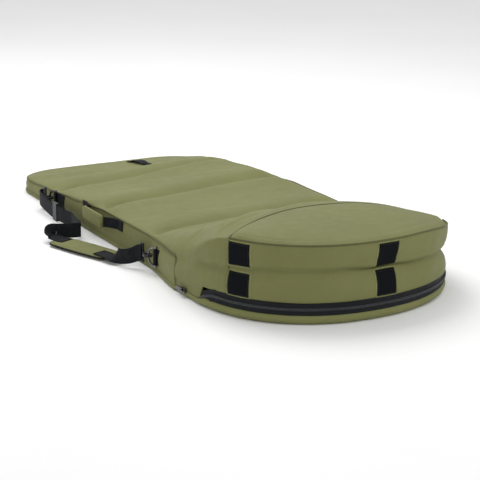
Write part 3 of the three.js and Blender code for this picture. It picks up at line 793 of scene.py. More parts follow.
def stitches(bm, line, pitch=0.0034, length=0.0023, radius=0.00036, material=0):
    """Short thread stitches along a line of places."""
    travelled, nexts = 0.0, 0.0
    for a, b in zip(line, line[1:]):
        step = (b - a).length
        while nexts <= travelled + step and step > 1e-9:
            p = a + (b - a) * ((nexts - travelled) / step)
            t = (b - a).normalized()
            side = t.cross(Vector((0, 0, 1)))
            side = side.normalized() if side.length > 0.1 else Vector((1, 0, 0))
            add_slab(bm, p, t, side, t.cross(side), (length, radius * 2, radius * 2), radius * 0.6, material)
            nexts += pitch
        travelled += step


# ---------------------------------------------------------------- pieces


def even(n):
    """Places from -1 to 1 that lie closer together towards both ends."""
    return [0.55 * sin(pi / 2 * c) + 0.45 * c for c in (-1 + 2 * i / n for i in range(n + 1))]


class BAG_OT_top(bpy.types.Operator):
    """The quilted top from the tail to the cap, with the nose's upright sides"""

    bl_idname = "bag.top"
    bl_label = "Quilted top"

    def execute(self, context):
        sizes = context.scene.bag_sizes
        f = finishes()
        columns = even(96)
        ys = [TAIL_END - 2.6 - d for d in (0, 1, 3, 7, 13, 21, 30)]
        count = 150
        ys += [mix(ys[-1] - 6, LID_FOLD, i / count) for i in range(count + 1)]
        rows = []
        for y in ys:
            w = half_width(y, 2.5)
            rows.append([(u * w, y, top_height(u * w, y, sizes)) for u in columns])
        shoulder = 46
        for j in range(1, shoulder + 1):
            v = j / shoulder
            row = []
            for u in columns:
                y = LID_FOLD
                for _ in range(8):
                    end = cap_rear(u * half_width(y, 2.5))
                    y = mix(LID_FOLD, end, v)
                x = u * half_width(y, 2.5)
                row.append((x, y, top_height(x, y, sizes)))
            rows.append(row)
        bm = bmesh.new()
        add_sheet(bm, [[point(*p) for p in row] for row in rows], sizes.padding, (0, 0, -1))
        # The cloth turns down the nose's sides without a seam.
        start = len(ys) - 1
        for k, sign in ((0, -1), (len(columns) - 1, 1)):
            side_rows = []
            for row in rows[start:]:
                top = Vector(row[k])
                s = min(NOSE.s, key=lambda q: hypot(NOSE.at(q)[0][0] - top.x, NOSE.at(q)[0][1] - top.y))
                low = cover_low(top.y)
                line = []
                for i in range(25):
                    t = i / 24
                    z = mix(low, top.z, t)
                    p = Vector(nose_wall(s, z, sizes))
                    p.y = top.y + (p.y - NOSE.at(s)[0][1])
                    blend_in = smooth((t - 0.55) / 0.45)
                    line.append(point(mix(p.x, top.x, blend_in), mix(p.y, top.y, blend_in), z))
                side_rows.append(line)
            add_sheet(bm, side_rows, 0.006, (0, -0.3, 0.05))
        bmesh.ops.remove_doubles(bm, verts=bm.verts, dist=0.00004)
        piece = new_piece("quilted_top", bm, [f["cloth"], f["lining"]])
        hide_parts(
            "front_top_cover",
            "front_top_foam",
            "middle_top_cover",
            "middle_top_foam",
            "tail_top_cover",
            "tail_top_foam",
            "body_top_lining",
            "shoulder_rear_cover",
            "shoulder_rear_foam",
            "shoulder_front_cover",
            "shoulder_front_foam",
            "shoulder_side_left",
            "shoulder_side_right",
        )
        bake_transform(piece)
        return {"FINISHED"}


def cover_low(y):
    """Lowest height of the nose's outer cloth: over the zip in front, down to the foot seam at the sides."""
    return mix(ZIP_SIDE - 1.0, ZIP_NOSE + 12, smooth((-288 - y) / 20))


def side_wall_point(s, t, sizes):
    """A point on the body's side: t runs from the floor up to the top seam."""
    (x, y), (nx, ny) = TAIL.at(s)
    top = seam_height(y)
    hem = [(0.0, -5.0, 0.6), (0.04, 1.0, 0.8), (0.09, 3.0, 3.2)]
    hem += [(0.14, 2.6, 6.6), (0.18, -0.6, 8.6), (0.22, -1.4, 9.4)]
    if t <= hem[-1][0]:
        for (ta, oa, za), (tb, ob, zb) in zip(hem, hem[1:]):
            if t <= tb:
                k = (t - ta) / (tb - ta)
                out, z = mix(oa, ob, k), mix(za, zb, k)
                break
    else:
        k = (t - hem[-1][0]) / (1 - hem[-1][0])
        z = mix(9.4, top - 0.8, k)
        out = -1.4 + 3.6 * sin(pi * k) ** 0.7 - 1.3 * k
        slack = sin(pi * k)
        out = mix(1.2 * slack, out, smooth((TAIL.s[-1] - abs(s)) / 70))
        out += slack * (1.6 * ruffle(s, z, 0, 75, 2.0) + 1.0 * ruffle(s, z * 0.5, 0, 28, 6.0))
        # The body folds a little where each crease meets the seam.
        for crease in (CREASE_NOSE, CREASE_MIDDLE - 24, CREASE_TAIL - 30):
            out -= 2.2 * slack * bump(y - crease + 0.4 * (top - z), 9)
    return x + nx * out, y + ny * out, z


class BAG_OT_sides(bpy.types.Operator):
    """The body's upright sides and tail end, with their foot hem and top piping; the piping and the upright
    seams are darkened, painted seam shade
    """

    bl_idname = "bag.sides"
    bl_label = "Sides"

    def execute(self, context):
        sizes = context.scene.bag_sizes
        f = finishes()
        bm = bmesh.new()
        rows = []
        n = round((TAIL.s[-1] - TAIL.s[0]) / 8)
        spans = [0, 0.04, 0.09, 0.14, 0.18, 0.22] + [0.22 + 0.78 * i / 13 for i in range(1, 14)]
        for i in range(n + 1):
            s = mix(TAIL.s[0], TAIL.s[-1], i / n)
            rows.append([point(*side_wall_point(s, t, sizes)) for t in spans])
        add_sheet(bm, rows, 0.004, (0, 0.3, 0.03))
        piece = new_piece("side_wall", bm, [f["cloth"], f["lining"]])
        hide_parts("side_wall_left", "side_wall_right", "tail_wall")
        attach(piece, "shell")
        # The top piping tube takes the darkened finish: painted seam shade along the top seam.
        bm = bmesh.new()
        line = []
        for i in range(n * 2 + 1):
            s = mix(TAIL.s[0] + 2, TAIL.s[-1] - 2, i / (2 * n))
            (x, y), (nx, ny) = TAIL.at(s)
            line.append(point(x - nx * 1.6, y - ny * 1.6, seam_height(y) + 0.2))
        add_tube(bm, line, 0.0017)
        piping = new_piece("top_piping", bm, [f["piping"]])
        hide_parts("body_welt")
        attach(piping, "shell")
        # The upright seam where the nose's cloth meets each side, a thin tube darkened as painted seam
        # shade.
        bm = bmesh.new()
        for s in (TAIL.s[0] + 1.5, TAIL.s[-1] - 1.5):
            line = [Vector(side_wall_point(s, mix(0.22, 0.99, i / 16), sizes)) for i in range(17)]
            (_, _), (nx, ny) = TAIL.at(s)
            add_tube(bm, [point(p.x - nx * 0.2, p.y - ny * 0.2, p.z) for p in line], 0.0009)
        seam = new_piece("upright_seam", bm, [f["piping"]])
        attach(seam, "shell")
        return {"FINISHED"}


class BAG_OT_base(bpy.types.Operator):
    """The padded back that lies on the floor, and the rim under the zip"""

    bl_idname = "bag.base"
    bl_label = "Back and rim"

    def execute(self, context):
        f = finishes()
        bm = bmesh.new()
        columns = even(44)
        ys = [TAIL_END - 6 - d for d in (0, 3, 8, 16)]
        ys += [mix(TAIL_END - 30, -500, i / 110) for i in range(111)] + [-510, -519, -526, -531, -534]
        rows = []
        for y in ys:
            w = half_width(y, 5)
            rows.append(
                [
                    point(
                        u * w,
                        y,
                        0.35 + 1.2 * (1 - smooth((w - abs(u * w)) / 10))
                        + 0.25 * abs(ruffle(u * w, y, 0, 60)),
                    )
                    for u in columns
                ]
            )
        add_sheet(bm, rows, 0.0105, (0, 0, 1))
        piece = new_piece("padded_back", bm, [f["cloth"], f["lining"]])
        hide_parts("base_cover", "base_foam", "base_lining")
        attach(piece, "shell")
        bm = bmesh.new()
        rows = []
        n = round((NOSE.s[-1] - NOSE.s[0]) / 6)
        for i in range(n + 1):
            s = mix(NOSE.s[0], NOSE.s[-1], i / n)
            (x, y), (nx, ny) = NOSE.at(s)
            top = mix(ZIP_SIDE - 1.5, ZIP_NOSE - 11.5, smooth((-288 - y) / 20))
            line = []
            for j in range(15):
                t = j / 14
                z = mix(0.5, top, t)
                out = -11 + 14.5 * sin(pi * clamp(0.1 + t * 0.72)) ** 0.8 * (1 - 0.1 * t)
                slack = sin(pi * t)
                out += slack * (1.5 * ruffle(s, z * 1.4, 0, 34, 1.0) + 0.9 * ruffle(s, z, 0, 15, 4.0))
                line.append(point(x + nx * out, y + ny * out, z))
            rows.append(line)
        add_sheet(bm, rows, 0.003, (0, -0.3, 0.05))
        rim = new_piece("zip_rim", bm, [f["binding"], f["lining"]])
        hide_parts("base_rim")
        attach(rim, "shell")
        return {"FINISHED"}


class BAG_OT_gusset(bpy.types.Operator):
    """The upright band round the nose, drawn in along its fold"""

    bl_idname = "bag.gusset"
    bl_label = "Gusset"

    def execute(self, context):
        sizes = context.scene.bag_sizes
        f = finishes()
        bm = bmesh.new()
        rows = []
        n = round(-2 * CORNER_ARC / 5)
        for i in range(n + 1):
            s = mix(CORNER_ARC, -CORNER_ARC, i / n)
            (_, y), _ = NOSE.at(s)
            low = cover_low(y)
            rows.append([point(*nose_wall(s, mix(low, CAP_HEIGHT - 0.5, j / 40), sizes)) for j in range(41)])
        add_sheet(bm, rows, 0.004, (0, -0.3, 0.1))
        piece = new_piece("gusset", bm, [f["cloth"], f["lining"]])
        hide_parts("lower_gusset", "upper_gusset")
        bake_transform(piece)
        return {"FINISHED"}


class BAG_OT_cap(bpy.types.Operator):
    """The domed cap of the nose with its piping; the piping and the rear seam are darkened, painted seam
    shade
    """

    bl_idname = "bag.cap"
    bl_label = "Cap"

    def execute(self, context):
        f = finishes()
        bm = bmesh.new()
        columns = even(90)
        front_edge = []
        rows = [[] for _ in range(49)]
        for u in columns:
            s = CORNER_ARC * -1 * u
            (x1, y1), (nx, ny) = NOSE.at(s)
            x1, y1 = x1 - nx * 2.2, y1 - ny * 2.2
            x0 = u * (CAP_CORNER + 0.5)
            y0 = cap_rear(x0)
            reach = hypot(x1 - x0, y1 - y0)
            front_edge.append(point(x1 + nx * 0.7, y1 + ny * 0.7, CAP_HEIGHT + 0.8))
            for j in range(49):
                v = 1 - (1 - j / 48) ** 1.25 if j else 0.0
                x, y = mix(x0, x1, v), mix(y0, y1, v)
                to_front = (1 - v) * reach
                z = cap_height(v, to_front, x) if reach > 4 else CAP_HEIGHT
                ends = smooth(reach / 60)
                z = mix(CAP_HEIGHT - 1.5, z, ends)
                z -= 1.6 * exp(-to_front / 2.5) + 1.2 * exp(-v * reach / 3.0)
                # Faint folds near the left tip, and a row of topstitching inside the front seam.
                z -= 1.3 * ends * bump(to_front - 24 - 0.03 * (x + 280), 3.5) * smooth((-70 - x) / 120)
                z -= 1.0 * ends * bump(to_front - 34, 3.0) * smooth((x + 40) / 120)
                rows[j].append(point(x, y, z))
        add_sheet(bm, rows, 0.009, (0, -0.4, -1))
        piece = new_piece("cap_panel", bm, [f["cloth"], f["lining"]])
        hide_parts("cap_cover", "cap_foam")
        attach(piece, "nose_cap")
        bm = bmesh.new()
        # The cap's piping takes the darkened finish: painted seam shade along the front seam.
        add_tube(bm, front_edge, 0.0019)
        piping = new_piece("cap_piping", bm, [f["piping"]])
        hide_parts("cap_welt")
        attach(piping, "nose_cap")
        bm = bmesh.new()
        # The rear seam tube takes the darkened finish too: painted seam shade.
        line = [point(x, cap_rear(x) + 0.4, CAP_HEIGHT - 0.6) for x in range(-276, 277, 6)]
        add_tube(bm, line, 0.0013)
        seam = new_piece("cap_seam", bm, [f["piping"]])
        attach(seam, "nose_lid")
        # A web of cloth behind the rear seam, which draws out as the cap is packed down.
        bm = bmesh.new()
        web = []
        for x in range(-270, 271, 6):
            heights = (CAP_HEIGHT - 3, CAP_HEIGHT - 7, CAP_HEIGHT - 11)
            web.append([point(x, cap_rear(x) + 0.8, z) for z in heights])
        add_sheet(bm, web, 0.0008, (0, 0.5, 0.16))
        drop = new_piece("cap_web", bm, [f["cloth"], f["lining"]])
        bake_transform(drop)
        return {"FINISHED"}


class BAG_OT_patches(bpy.types.Operator):
    """Three pairs of hook-and-loop patches with their stitched frames"""

    bl_idname = "bag.patches"
    bl_label = "Patches"

    def execute(self, context):
        sizes = context.scene.bag_sizes
        f = finishes()
        for name, middle in (("left", -317), ("centre", 12), ("right", 317)):
            for kind, bottom in (("hook", 114), ("loop", 50)):
                bm = bmesh.new()

                def surface(u, v, lift):
                    s = middle + u * 25
                    z = bottom + 25 + v * 25
                    p = Vector(nose_wall(s, z, sizes))
                    _, (nx, ny) = NOSE.at(s)
                    return point(p.x + nx * lift, p.y + ny * lift, p.z)

                rows = []
                for i in range(21):
                    u = -1 + i / 10
                    line = []
                    for j in range(21):
                        v = -1 + j / 10
                        rim = min(1 - abs(u), 1 - abs(v))
                        raised = 0.5 + 1.1 * smooth(rim / 0.06) - 0.35 * bump(rim - 0.11, 0.04)
                        line.append(surface(u, v, raised))
                    rows.append(line)
                add_sheet(bm, rows, 0.0006, (0, -0.2, 0.1))
                for face in bm.faces:
                    face.material_index = 0
                square = [(-1, -1), (1, -1), (1, 1), (-1, 1), (-1, -1)]
                dense = [
                    (mix(a[0], b[0], k / 10), mix(a[1], b[1], k / 10))
                    for a, b in zip(square, square[1:])
                    for k in range(10)
                ]
                stitches(bm, [surface(u * 0.9, v * 0.9, 1.5) for u, v in dense], material=1)
                patch = new_piece(f"{kind}_patch_{name}_tape", bm, [f["pile"], f["dark_thread"]])
                bm = bmesh.new()
                add_tube(bm, [surface(u * 1.13, v * 1.1, 0.25) for u, v in dense], 0.0007, 6, closed=True)
                frame_line = new_piece(f"{kind}_patch_{name}_frame", bm, [f["thread"]])
                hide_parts(f"{kind}_patch_{name}")
                for piece, finish in ((patch, "webbing"), (frame_line, "cloth")):
                    if kind == "hook":
                        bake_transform(piece)
                    else:
                        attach(piece, "nose_lid")
        return {"FINISHED"}


def hidden(y):
    """How far the zip lies behind the cloth's lips along the nose's sides."""
    return 5.0 * (1 - smooth((-284 - y) / 20))


class BAG_OT_zip(bpy.types.Operator):
    """The zip: its two tapes and the interlocked teeth"""

    bl_idname = "bag.zip"
    bl_label = "Zip"

    def execute(self, context):
        sizes = context.scene.bag_sizes
        f = finishes()
        pitch = sizes.tooth_pitch / MM
        for name, sign, body in (("upper", 1, "nose_lid"), ("lower", -1, "shell")):
            bm = bmesh.new()
            rows = []
            n = round((NOSE.s[-1] - NOSE.s[0]) / 6)
            for i in range(n + 1):
                s = mix(NOSE.s[0] + 1, NOSE.s[-1] - 1, i / n)
                (x, y), (nx, ny) = NOSE.at(s)
                zip_z = zip_height(y)
                wide = mix(1.6, 13.2, smooth((-288 - y) / 20))
                line = []
                for j in range(9):
                    t = j / 8
                    out = 0.3 - 1.6 * sin(pi * t) + 0.5 * ruffle(s, sign * 20 + t * 6, 0, 30) - hidden(y)
                    line.append(point(x + nx * out, y + ny * out, zip_z + sign * mix(0.2, wide, t)))
                rows.append(line)
            add_sheet(bm, rows, 0.0008, (0, -0.3, 0.05))
            for face in bm.faces:
                face.material_index = 0
            tape = new_piece(f"zip_tape_{name}_cloth", bm, [f["tape"]])
            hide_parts(f"zip_tape_{name}")
            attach(tape, body)
            bm = bmesh.new()
            s = NOSE.s[0] + 3 + (0 if sign > 0 else pitch / 2)
            while s < NOSE.s[-1] - 3:
                (x, y), (nx, ny) = NOSE.at(s)
                reach = 1.2 - hidden(y)
                centre = point(x + nx * reach, y + ny * reach, zip_height(y) + sign * 1.5)
                add_slab(
                    bm,
                    centre,
                    Vector((-ny, nx, 0)),
                    Vector((0, 0, 1)),
                    Vector((nx, ny, 0)),
                    (pitch * 0.0006, 0.0036, 0.0022),
                    0.0005,
                )
                s += pitch
            teeth = new_piece(f"zip_teeth_{name}_coil", bm, [f["teeth"]])
            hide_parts(f"zip_teeth_{name}")
            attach(teeth, body)
        return {"FINISHED"}


def webbing_path(places, tilt, steps=6):
    """(place, across) pairs for webbing along (x, y, z) or (x, y, z, tilt) places.

    Tilt 0 lies flat and 90 stands on edge.
    """
    full = [(*p, tilt) if len(p) == 3 else p for p in places]
    path = []
    line = curve_through(full, steps)
    for i, (x, y, z, lean) in enumerate(line):
        a, b = line[max(0, i - 1)], line[min(len(line) - 1, i + 1)]
        t = Vector((b[0] - a[0], b[1] - a[1], 0)).normalized()
        side = Vector((-t.y, t.x, 0))
        q = radians(lean)
        path.append((point(x, y, z), side * cos(q) + Vector((0, 0, 1)) * sin(q)))
    return path


def webbing_piece(name, places, tilt, width, thickness, body, replaced=(), steps=6):
    f = finishes()
    bm = bmesh.new()
    path = webbing_path(places, tilt, steps)
    add_webbing(bm, path, width * MM, thickness * MM)
    piece = new_piece(name, bm, [f["webbing"]])
    if replaced:
        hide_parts(*replaced)
    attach(piece, body)
    return piece


def box_stitch(bm, centre, ax, ay, wide, long, lift, material=0):
    """A stitched rectangle with a cross, lying just over a face."""
    up = ax.cross(ay)
    c = [
        centre + ax * (u * wide / 2 * MM) + ay * (v * long / 2 * MM) + up * (lift * MM)
        for u, v in ((-1, -1), (1, -1), (1, 1), (-1, 1))
    ]
    for a, b in ((0, 1), (1, 2), (2, 3), (3, 0), (0, 2), (1, 3)):
        stitches(bm, [c[a], c[b]], material=material)


class BAG_OT_handle(bpy.types.Operator):
    """The grab handle on the left side: two stitched feet, a bow of webbing and a cloth grip"""

    bl_idname = "bag.handle"
    bl_label = "Grab handle"

    def execute(self, context):
        f = finishes()
        low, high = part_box("handle_webbing")
        middle = (low + high) / 2 / MM
        height = (high.z - low.z) / MM
        wall_x, out_x = high.x / MM, low.x / MM
        y0, y1 = low.y / MM, high.y / MM
        for name, sign, end in (("front", -1, y0), ("rear", 1, y1)):
            node_low, node_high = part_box(f"handle_foot_{name}")
            fx = (node_low.x + node_high.x) / 2 / MM
            ya, yb = sorted((node_low.y / MM, node_high.y / MM))
            places = [
                (fx - 0.4 + 0.3 * sin(k * 1.4), mix(ya + 0.4, yb - 0.4, k / 6), middle.z)
                for k in range(7)
            ]
            bm = bmesh.new()
            add_webbing(bm, webbing_path(places, 90), height * MM, 0.0022)
            box_stitch(
                bm,
                point(fx - 1.6, (ya + yb) / 2, middle.z),
                Vector((0, 1, 0)),
                Vector((0, 0, 1)),
                (yb - ya) * 0.7,
                height * 0.72,
                0.25,
                1,
            )
            foot = new_piece(f"handle_foot_{name}_web", bm, [f["webbing"], f["dark_thread"]])
            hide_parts(f"handle_foot_{name}")
            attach(foot, "shell")
        places = []
        for k in range(25):
            t = k / 24
            rise = smooth(min(t, 1 - t) / 0.27)
            places.append((mix(wall_x - 2.2, out_x + 2.0, rise), mix(y0 + 0.5, y1 - 0.5, t), middle.z))
        webbing = webbing_piece(
            "handle_bow", places, 90, height - 0.6, 2.3, "grab_handle", ("handle_webbing",), 3
        )
        low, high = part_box("handle_grip")
        gy0, gy1 = low.y / MM, high.y / MM
        gz, gh = (low.z + high.z) / 2 / MM, (high.z - low.z) / MM
        gx, gw = (low.x + high.x) / 2 / MM, (high.x - low.x) / MM
        bm = bmesh.new()
        rows = []
        for i in range(61):
            t = i / 60
            y = mix(gy0 + 0.4, gy1 - 0.4, t)
            ends = smooth(min(t, 1 - t) / 0.05)
            row = []
            for k in range(36):
                a = 2 * pi * k / 36
                ca, sa = cos(a), sin(a)
                ex = (abs(ca) ** 0.55) * (1 if ca > 0 else -1)
                ez = (abs(sa) ** 0.55) * (1 if sa > 0 else -1)
                swell = 0.84 + 0.16 * ends + 0.035 * ruffle(i * 5, k * 9, 0, 22)
                swell += 0.02 * ruffle(i * 5, k * 9, 0, 9)
                row.append(point(gx + ex * gw / 2 * swell * 0.98, y, gz + ez * gh / 2 * swell * 0.98))
            rows.append(row)
        made = add_grid(bm, rows, closed_columns=True)
        bm.faces.new(made[0])
        bm.faces.new(made[-1])
        for dz in (-0.36, 0.36):
            line = [point(gx - gw / 2 - 0.3, mix(gy0 + 3, gy1 - 3, k / 30), gz + gh * dz) for k in range(31)]
            stitches(bm, line, material=1)
        grip = new_piece("handle_grip_cloth", bm, [f["cloth"], f["thread"]])
        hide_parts("handle_grip")
        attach(grip, "grab_handle")
        return {"FINISHED"}


class BAG_OT_tabs(bpy.types.Operator):
    """The webbing tabs that hold the D-rings, and the short haul strap on the tail"""

    bl_idname = "bag.tabs"
    bl_label = "Tabs and haul strap"

    def execute(self, context):
        f = finishes()
        for name in ("front", "rear"):
            low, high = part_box(f"{name}_tab")
            low, high = low / MM, high / MM
            z, tall = (low.z + high.z) / 2, high.z - low.z
            wall = high.x - 1.3
            loop_x = (low.x + wall) / 2
            y0, y1 = low.y, high.y
            r = (wall - low.x) / 2 - 0.9
            places = [(wall, y0 + 0.3, z), (wall, mix(y0, y1, 0.3), z), (wall, y1 - 2 * r, z)]
            bm = bmesh.new()
            add_webbing(bm, webbing_path(places, 90, 5), tall * MM, 0.0022)
            # The loop goes round the ring's straight bar and back to the wall.
            loop = []
            for k in range(21):
                a = 2 * pi * k / 20 + pi / 2
                loop.append((loop_x - r * cos(a) * 1.02, y1 - r - 1.0 + r * sin(a) * 0.98, z))
            add_webbing(bm, webbing_path(loop, 90, 2), tall * MM, 0.0021)
            box_stitch(
                bm,
                point(wall - 1.3, mix(y0, y1 - 2 * r, 0.45), z),
                Vector((0, 1, 0)),
                Vector((0, 0, 1)),
                (y1 - 2 * r - y0) * 0.6,
                tall * 0.7,
                0.2,
                1,
            )
            tab = new_piece(f"{name}_tab_web", bm, [f["webbing"], f["dark_thread"]])
            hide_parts(f"{name}_tab")
            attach(tab, "shell")
        sizes = context.scene.bag_sizes
        low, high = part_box("haul_strap")
        low, high = low / MM, high / MM
        x = (low.x + high.x) / 2
        places = []
        for k in range(19):
            y = mix(low.y + 1, high.y - 1, k / 18)
            arch = 5.0 * smooth((k - 2) / 5) * smooth((16 - k) / 5)
            places.append((x + 1.2 * sin(k * 0.6), y, top_height(x, y, sizes) + 1.7 + arch))
        bm = bmesh.new()
        add_webbing(bm, webbing_path(places, 0, 3), (high.x - low.x - 0.5) * MM, 0.0022)
        for k in (2, 16):
            box_stitch(
                bm,
                point(*places[k]),
                Vector((1, 0, 0)),
                Vector((0, 1, 0)),
                17,
                14,
                1.4,
                1,
            )
        strap = new_piece("haul_strap_web", bm, [f["webbing"], f["dark_thread"]])
        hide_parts("haul_strap")
        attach(strap, "shell")
        return {"FINISHED"}


FRONT_STRAP = [
    (-347, 108, 12.5, 0),
    (-340, 82, 12.5, 0),
    (-337.5, 68, 13, 0),
    (-336.5, 60, 14.5, 14),
    (-336, 52, 16.9, 30),
    (-335, 44, 19.8, 50),
    (-333, 35, 22, 70),
    (-329, 24, 23, 86),
    (-318, 8, 27, 90),
    (-306, -2, 33, 90),
    (-300.2, -12.2, 40, 90),
    (-300.2, -19.2, 41, 90),
]
REAR_STRAP = [
    (-293.3, 562.8, 33),
    (-308.5, 549.8, 31),
    (-314, 462, 22),
    (-314, 412, 22),
    (-306, 360, 22),
    (-308, 345, 22),
    (-316, 300, 22),
    (-319, 275, 22),
    (-326, 266, 22),
    (-348, 271, 22),
    (-380, 281, 22),
]
PAD_MIDDLE = (-357, 168)
PAD_TURN = atan2(172, -64)
PAD_LENGTH = 190
PAD_WIDTH = 70


class BAG_OT_strap(bpy.types.Operator):
    """The shoulder strap: its quilted pad, the webbing to both hooks and the fold onto the pad"""

    bl_idname = "bag.strap"
    bl_label = "Shoulder strap"

    def execute(self, context):
        f = finishes()
        ax, ay = cos(PAD_TURN), sin(PAD_TURN)

        def place(k, j):
            return PAD_MIDDLE[0] + ax * k - ay * j, PAD_MIDDLE[1] + ay * k + ax * j

        def outline(t):
            """Half width along the pad: a waist in the middle and round ends."""
            u = abs(t)
            end = sqrt(max(0.0, 1 - clamp((u - 0.8) / 0.2) ** 2.4))
            return PAD_WIDTH / 2 * (0.96 + 0.04 * cos(pi * u)) * max(0.3, end)

        bm = bmesh.new()
        along_steps, around = 76, 40
        rows = []
        for i in range(along_steps + 1):
            t = -1 + 2 * i / along_steps
            half = outline(t)
            k = t * PAD_LENGTH / 2
            row = []
            for q in range(around):
                a = 2 * pi * q / around
                ca, sa = cos(a), sin(a)
                j = half * (abs(ca) ** 0.35) * (1 if ca > 0 else -1)
                edge = 1 - abs(j) / half
                quilt = 0.72 + 0.28 * smooth(edge / 0.3) + 0.05 * sin(t * 14) * smooth(edge / 0.4)
                quilt -= 0.3 * bump(edge - 0.2, 0.035)
                ends = 0.45 + 0.55 * smooth((1 - abs(t)) / 0.12)
                z = 6.2 + 5.6 * (abs(sa) ** 0.5) * (1 if sa > 0 else -1) * quilt * ends
                z += 0.5 * ruffle(k, j, 0, 24)
                z = max(0.5, z)
                row.append(point(*place(k, j), z))
            rows.append(row)
        made = add_grid(bm, rows, closed_columns=True)
        bm.faces.new(made[0])
        bm.faces.new(made[-1])
        pad = new_piece("quilted_pad", bm, [f["cloth"]])
        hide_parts("shoulder_pad")
        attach(pad, "shoulder_strap")
        # Binding round the pad's edge and a line of stitches inside it.
        bm = bmesh.new()
        ring = []
        for side in (1, -1):
            for i in range(61):
                t = side * (-1 + 2 * i / 60)
                ring.append(point(*place(t * PAD_LENGTH / 2, side * (outline(t) + 0.3)), 6.3))
        add_tube(bm, ring, 0.0021, 8, closed=True)
        for side in (1, -1):
            line = []
            for i in range(41):
                t = -0.86 + 1.72 * i / 40
                line.append(point(*place(t * PAD_LENGTH / 2, side * (outline(t) * 0.8)), 10.6))
            stitches(bm, line, material=1)
        binding = new_piece("pad_binding", bm, [f["webbing"], f["thread"]])
        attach(binding, "shoulder_strap")
        webbing_piece(
            "strap_front", FRONT_STRAP, 90, 36, 2.4, "shoulder_strap", ("strap_front_webbing",), 6
        )
        webbing_piece(
            "strap_rear", REAR_STRAP, 90, 37.4, 2.4, "shoulder_strap", ("strap_rear_webbing",), 6
        )
        tongue = [
            (*place(PAD_LENGTH / 2 * k, 0), z)
            for k, z in ((0.62, 12.6), (0.8, 12.6), (0.95, 12.7), (1.12, 14.5))
        ]
        fold = tongue + [
            (-397.5, 274, 18, 22),
            (-395, 282, 21.5, 55),
            (-388, 284.5, 22.6, 84),
            (-380, 281.4, 22.4, 90),
        ]
        fold = [(*p, 0) if len(p) == 3 else p for p in fold]
        webbing_piece(
            "strap_fold", fold, 0, 37, 2.4, "shoulder_strap", ("strap_pad_tongue",), 6
        )
        return {"FINISHED"}


class BAG_OT_fittings(bpy.types.Operator):
    """Finishes of the moulded and cast fittings"""

    bl_idname = "bag.fittings"
    bl_label = "Fittings"

    NODES = (
        ("zip_slider", "metal", 0.0008),
        ("zip_pull", "metal", 0.0007),
        ("front_ring", "metal", 0.0012),
        ("rear_ring", "metal", 0.0012),
        ("front_gate", "metal", 0.0005),
        ("rear_gate", "metal", 0.0005),
        ("front_hook", "plastic", 0.0009),
        ("rear_hook", "plastic", 0.0009),
        ("front_strap_eye", "plastic", 0.0007),
        ("rear_strap_eye", "plastic", 0.0007),
        ("strap_adjuster", "plastic", 0.0008),
    )

    def execute(self, context):
        f = finishes()
        for name, finish, edge in self.NODES:
            node = bpy.data.objects[name]
            node.data.materials.clear()
            node.data.materials.append(f[finish])
            bevel = node.modifiers.new("Soft edges", "BEVEL")
            bevel.width = edge
            bevel.segments = 3
            bevel.limit_method = "ANGLE"
            bevel.angle_limit = radians(35)
        return {"FINISHED"}


WORLD_STRENGTH = 0.74
LENS = 108.34
CAMERA_PLACE = (-1.70718, -2.83546, 1.03168)
CAMERA_TILT = radians(90 - 16.945)
CAMERA_TURN = -radians(30.640)
CAMERA_ROLL = 0.0200169


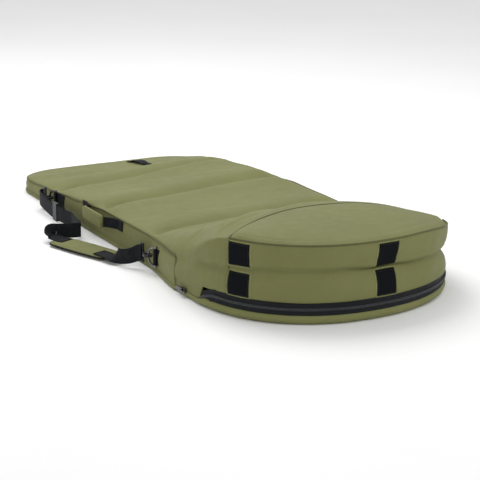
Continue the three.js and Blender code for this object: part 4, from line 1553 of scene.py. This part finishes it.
class BAG_OT_stage(bpy.types.Operator):
    """The white floor, the soft lights and the camera"""

    bl_idname = "bag.stage"
    bl_label = "Stage"

    def execute(self, context):
        scene = context.scene
        bm = bmesh.new()
        bmesh.ops.create_grid(bm, x_segments=1, y_segments=1, size=9)
        floor = new_piece("floor", bm, [floor_finish("white_floor")])
        floor.location = (0, 0, -0.0003)
        world = bpy.data.worlds.new("white_room")
        world.use_nodes = True
        world.node_tree.nodes["Background"].inputs["Color"].default_value = (1, 1, 1, 1)
        world.node_tree.nodes["Background"].inputs["Strength"].default_value = WORLD_STRENGTH
        scene.world = world
        scene.view_settings.view_transform = "Standard"
        lamps = (
            ("key", (-0.1, 1.3, 2.6), (0, 0.1, 0), 1.8, 44),
            ("fill", (1.4, -2.4, 2.4), (0, -0.1, 0.05), 2.0, 16),
        )
        for name, where, target, size, power in lamps:
            data = bpy.data.lights.new(name, "AREA")
            data.shape = "SQUARE"
            data.size = size
            data.energy = power
            lamp = bpy.data.objects.new(name, data)
            lamp.location = where
            lamp.rotation_mode = "QUATERNION"
            lamp.rotation_quaternion = (Vector(target) - Vector(where)).to_track_quat("-Z", "Y")
            scene.collection.objects.link(lamp)
        data = bpy.data.cameras.new("camera")
        data.lens = LENS
        data.sensor_width = 36
        data.clip_start = 0.05
        data.clip_end = 60
        camera = bpy.data.objects.new("camera", data)
        turn = Euler((CAMERA_TILT, 0, CAMERA_TURN)).to_matrix() @ Matrix.Rotation(CAMERA_ROLL, 3, "Z")
        camera.matrix_world = Matrix.Translation(CAMERA_PLACE) @ turn.to_4x4()
        scene.collection.objects.link(camera)
        scene.camera = camera
        return {"FINISHED"}


class BAG_PT_panel(bpy.types.Panel):
    """The bag's pieces in building order"""

    bl_label = "Board Bag"
    bl_idname = "BAG_PT_panel"
    bl_space_type = "VIEW_3D"
    bl_region_type = "UI"
    bl_category = "Board Bag"

    def draw(self, context):
        layout = self.layout
        for group in (context.scene.bag_sizes, context.scene.bag_colours):
            box = layout.box()
            for name in group.__annotations__:
                box.prop(group, name)
        for operator in OPERATORS:
            layout.operator(operator.bl_idname)


OPERATORS = (
    BAG_OT_top,
    BAG_OT_sides,
    BAG_OT_base,
    BAG_OT_gusset,
    BAG_OT_cap,
    BAG_OT_patches,
    BAG_OT_zip,
    BAG_OT_handle,
    BAG_OT_tabs,
    BAG_OT_strap,
    BAG_OT_fittings,
    BAG_OT_stage,
)
CLASSES = (BagSizes, BagColours, *OPERATORS, BAG_PT_panel)


def register():
    for cls in CLASSES:
        bpy.utils.register_class(cls)
    bpy.types.Scene.bag_sizes = bpy.props.PointerProperty(type=BagSizes)
    bpy.types.Scene.bag_colours = bpy.props.PointerProperty(type=BagColours)


def unregister():
    del bpy.types.Scene.bag_colours
    del bpy.types.Scene.bag_sizes
    for cls in reversed(CLASSES):
        bpy.utils.unregister_class(cls)


def main():
    register()
    for operator in OPERATORS:
        group, name = operator.bl_idname.split(".")
        if getattr(getattr(bpy.ops, group), name)() != {"FINISHED"}:
            raise RuntimeError(f"{operator.bl_label} was not built")


if __name__ == "__main__":
    main()
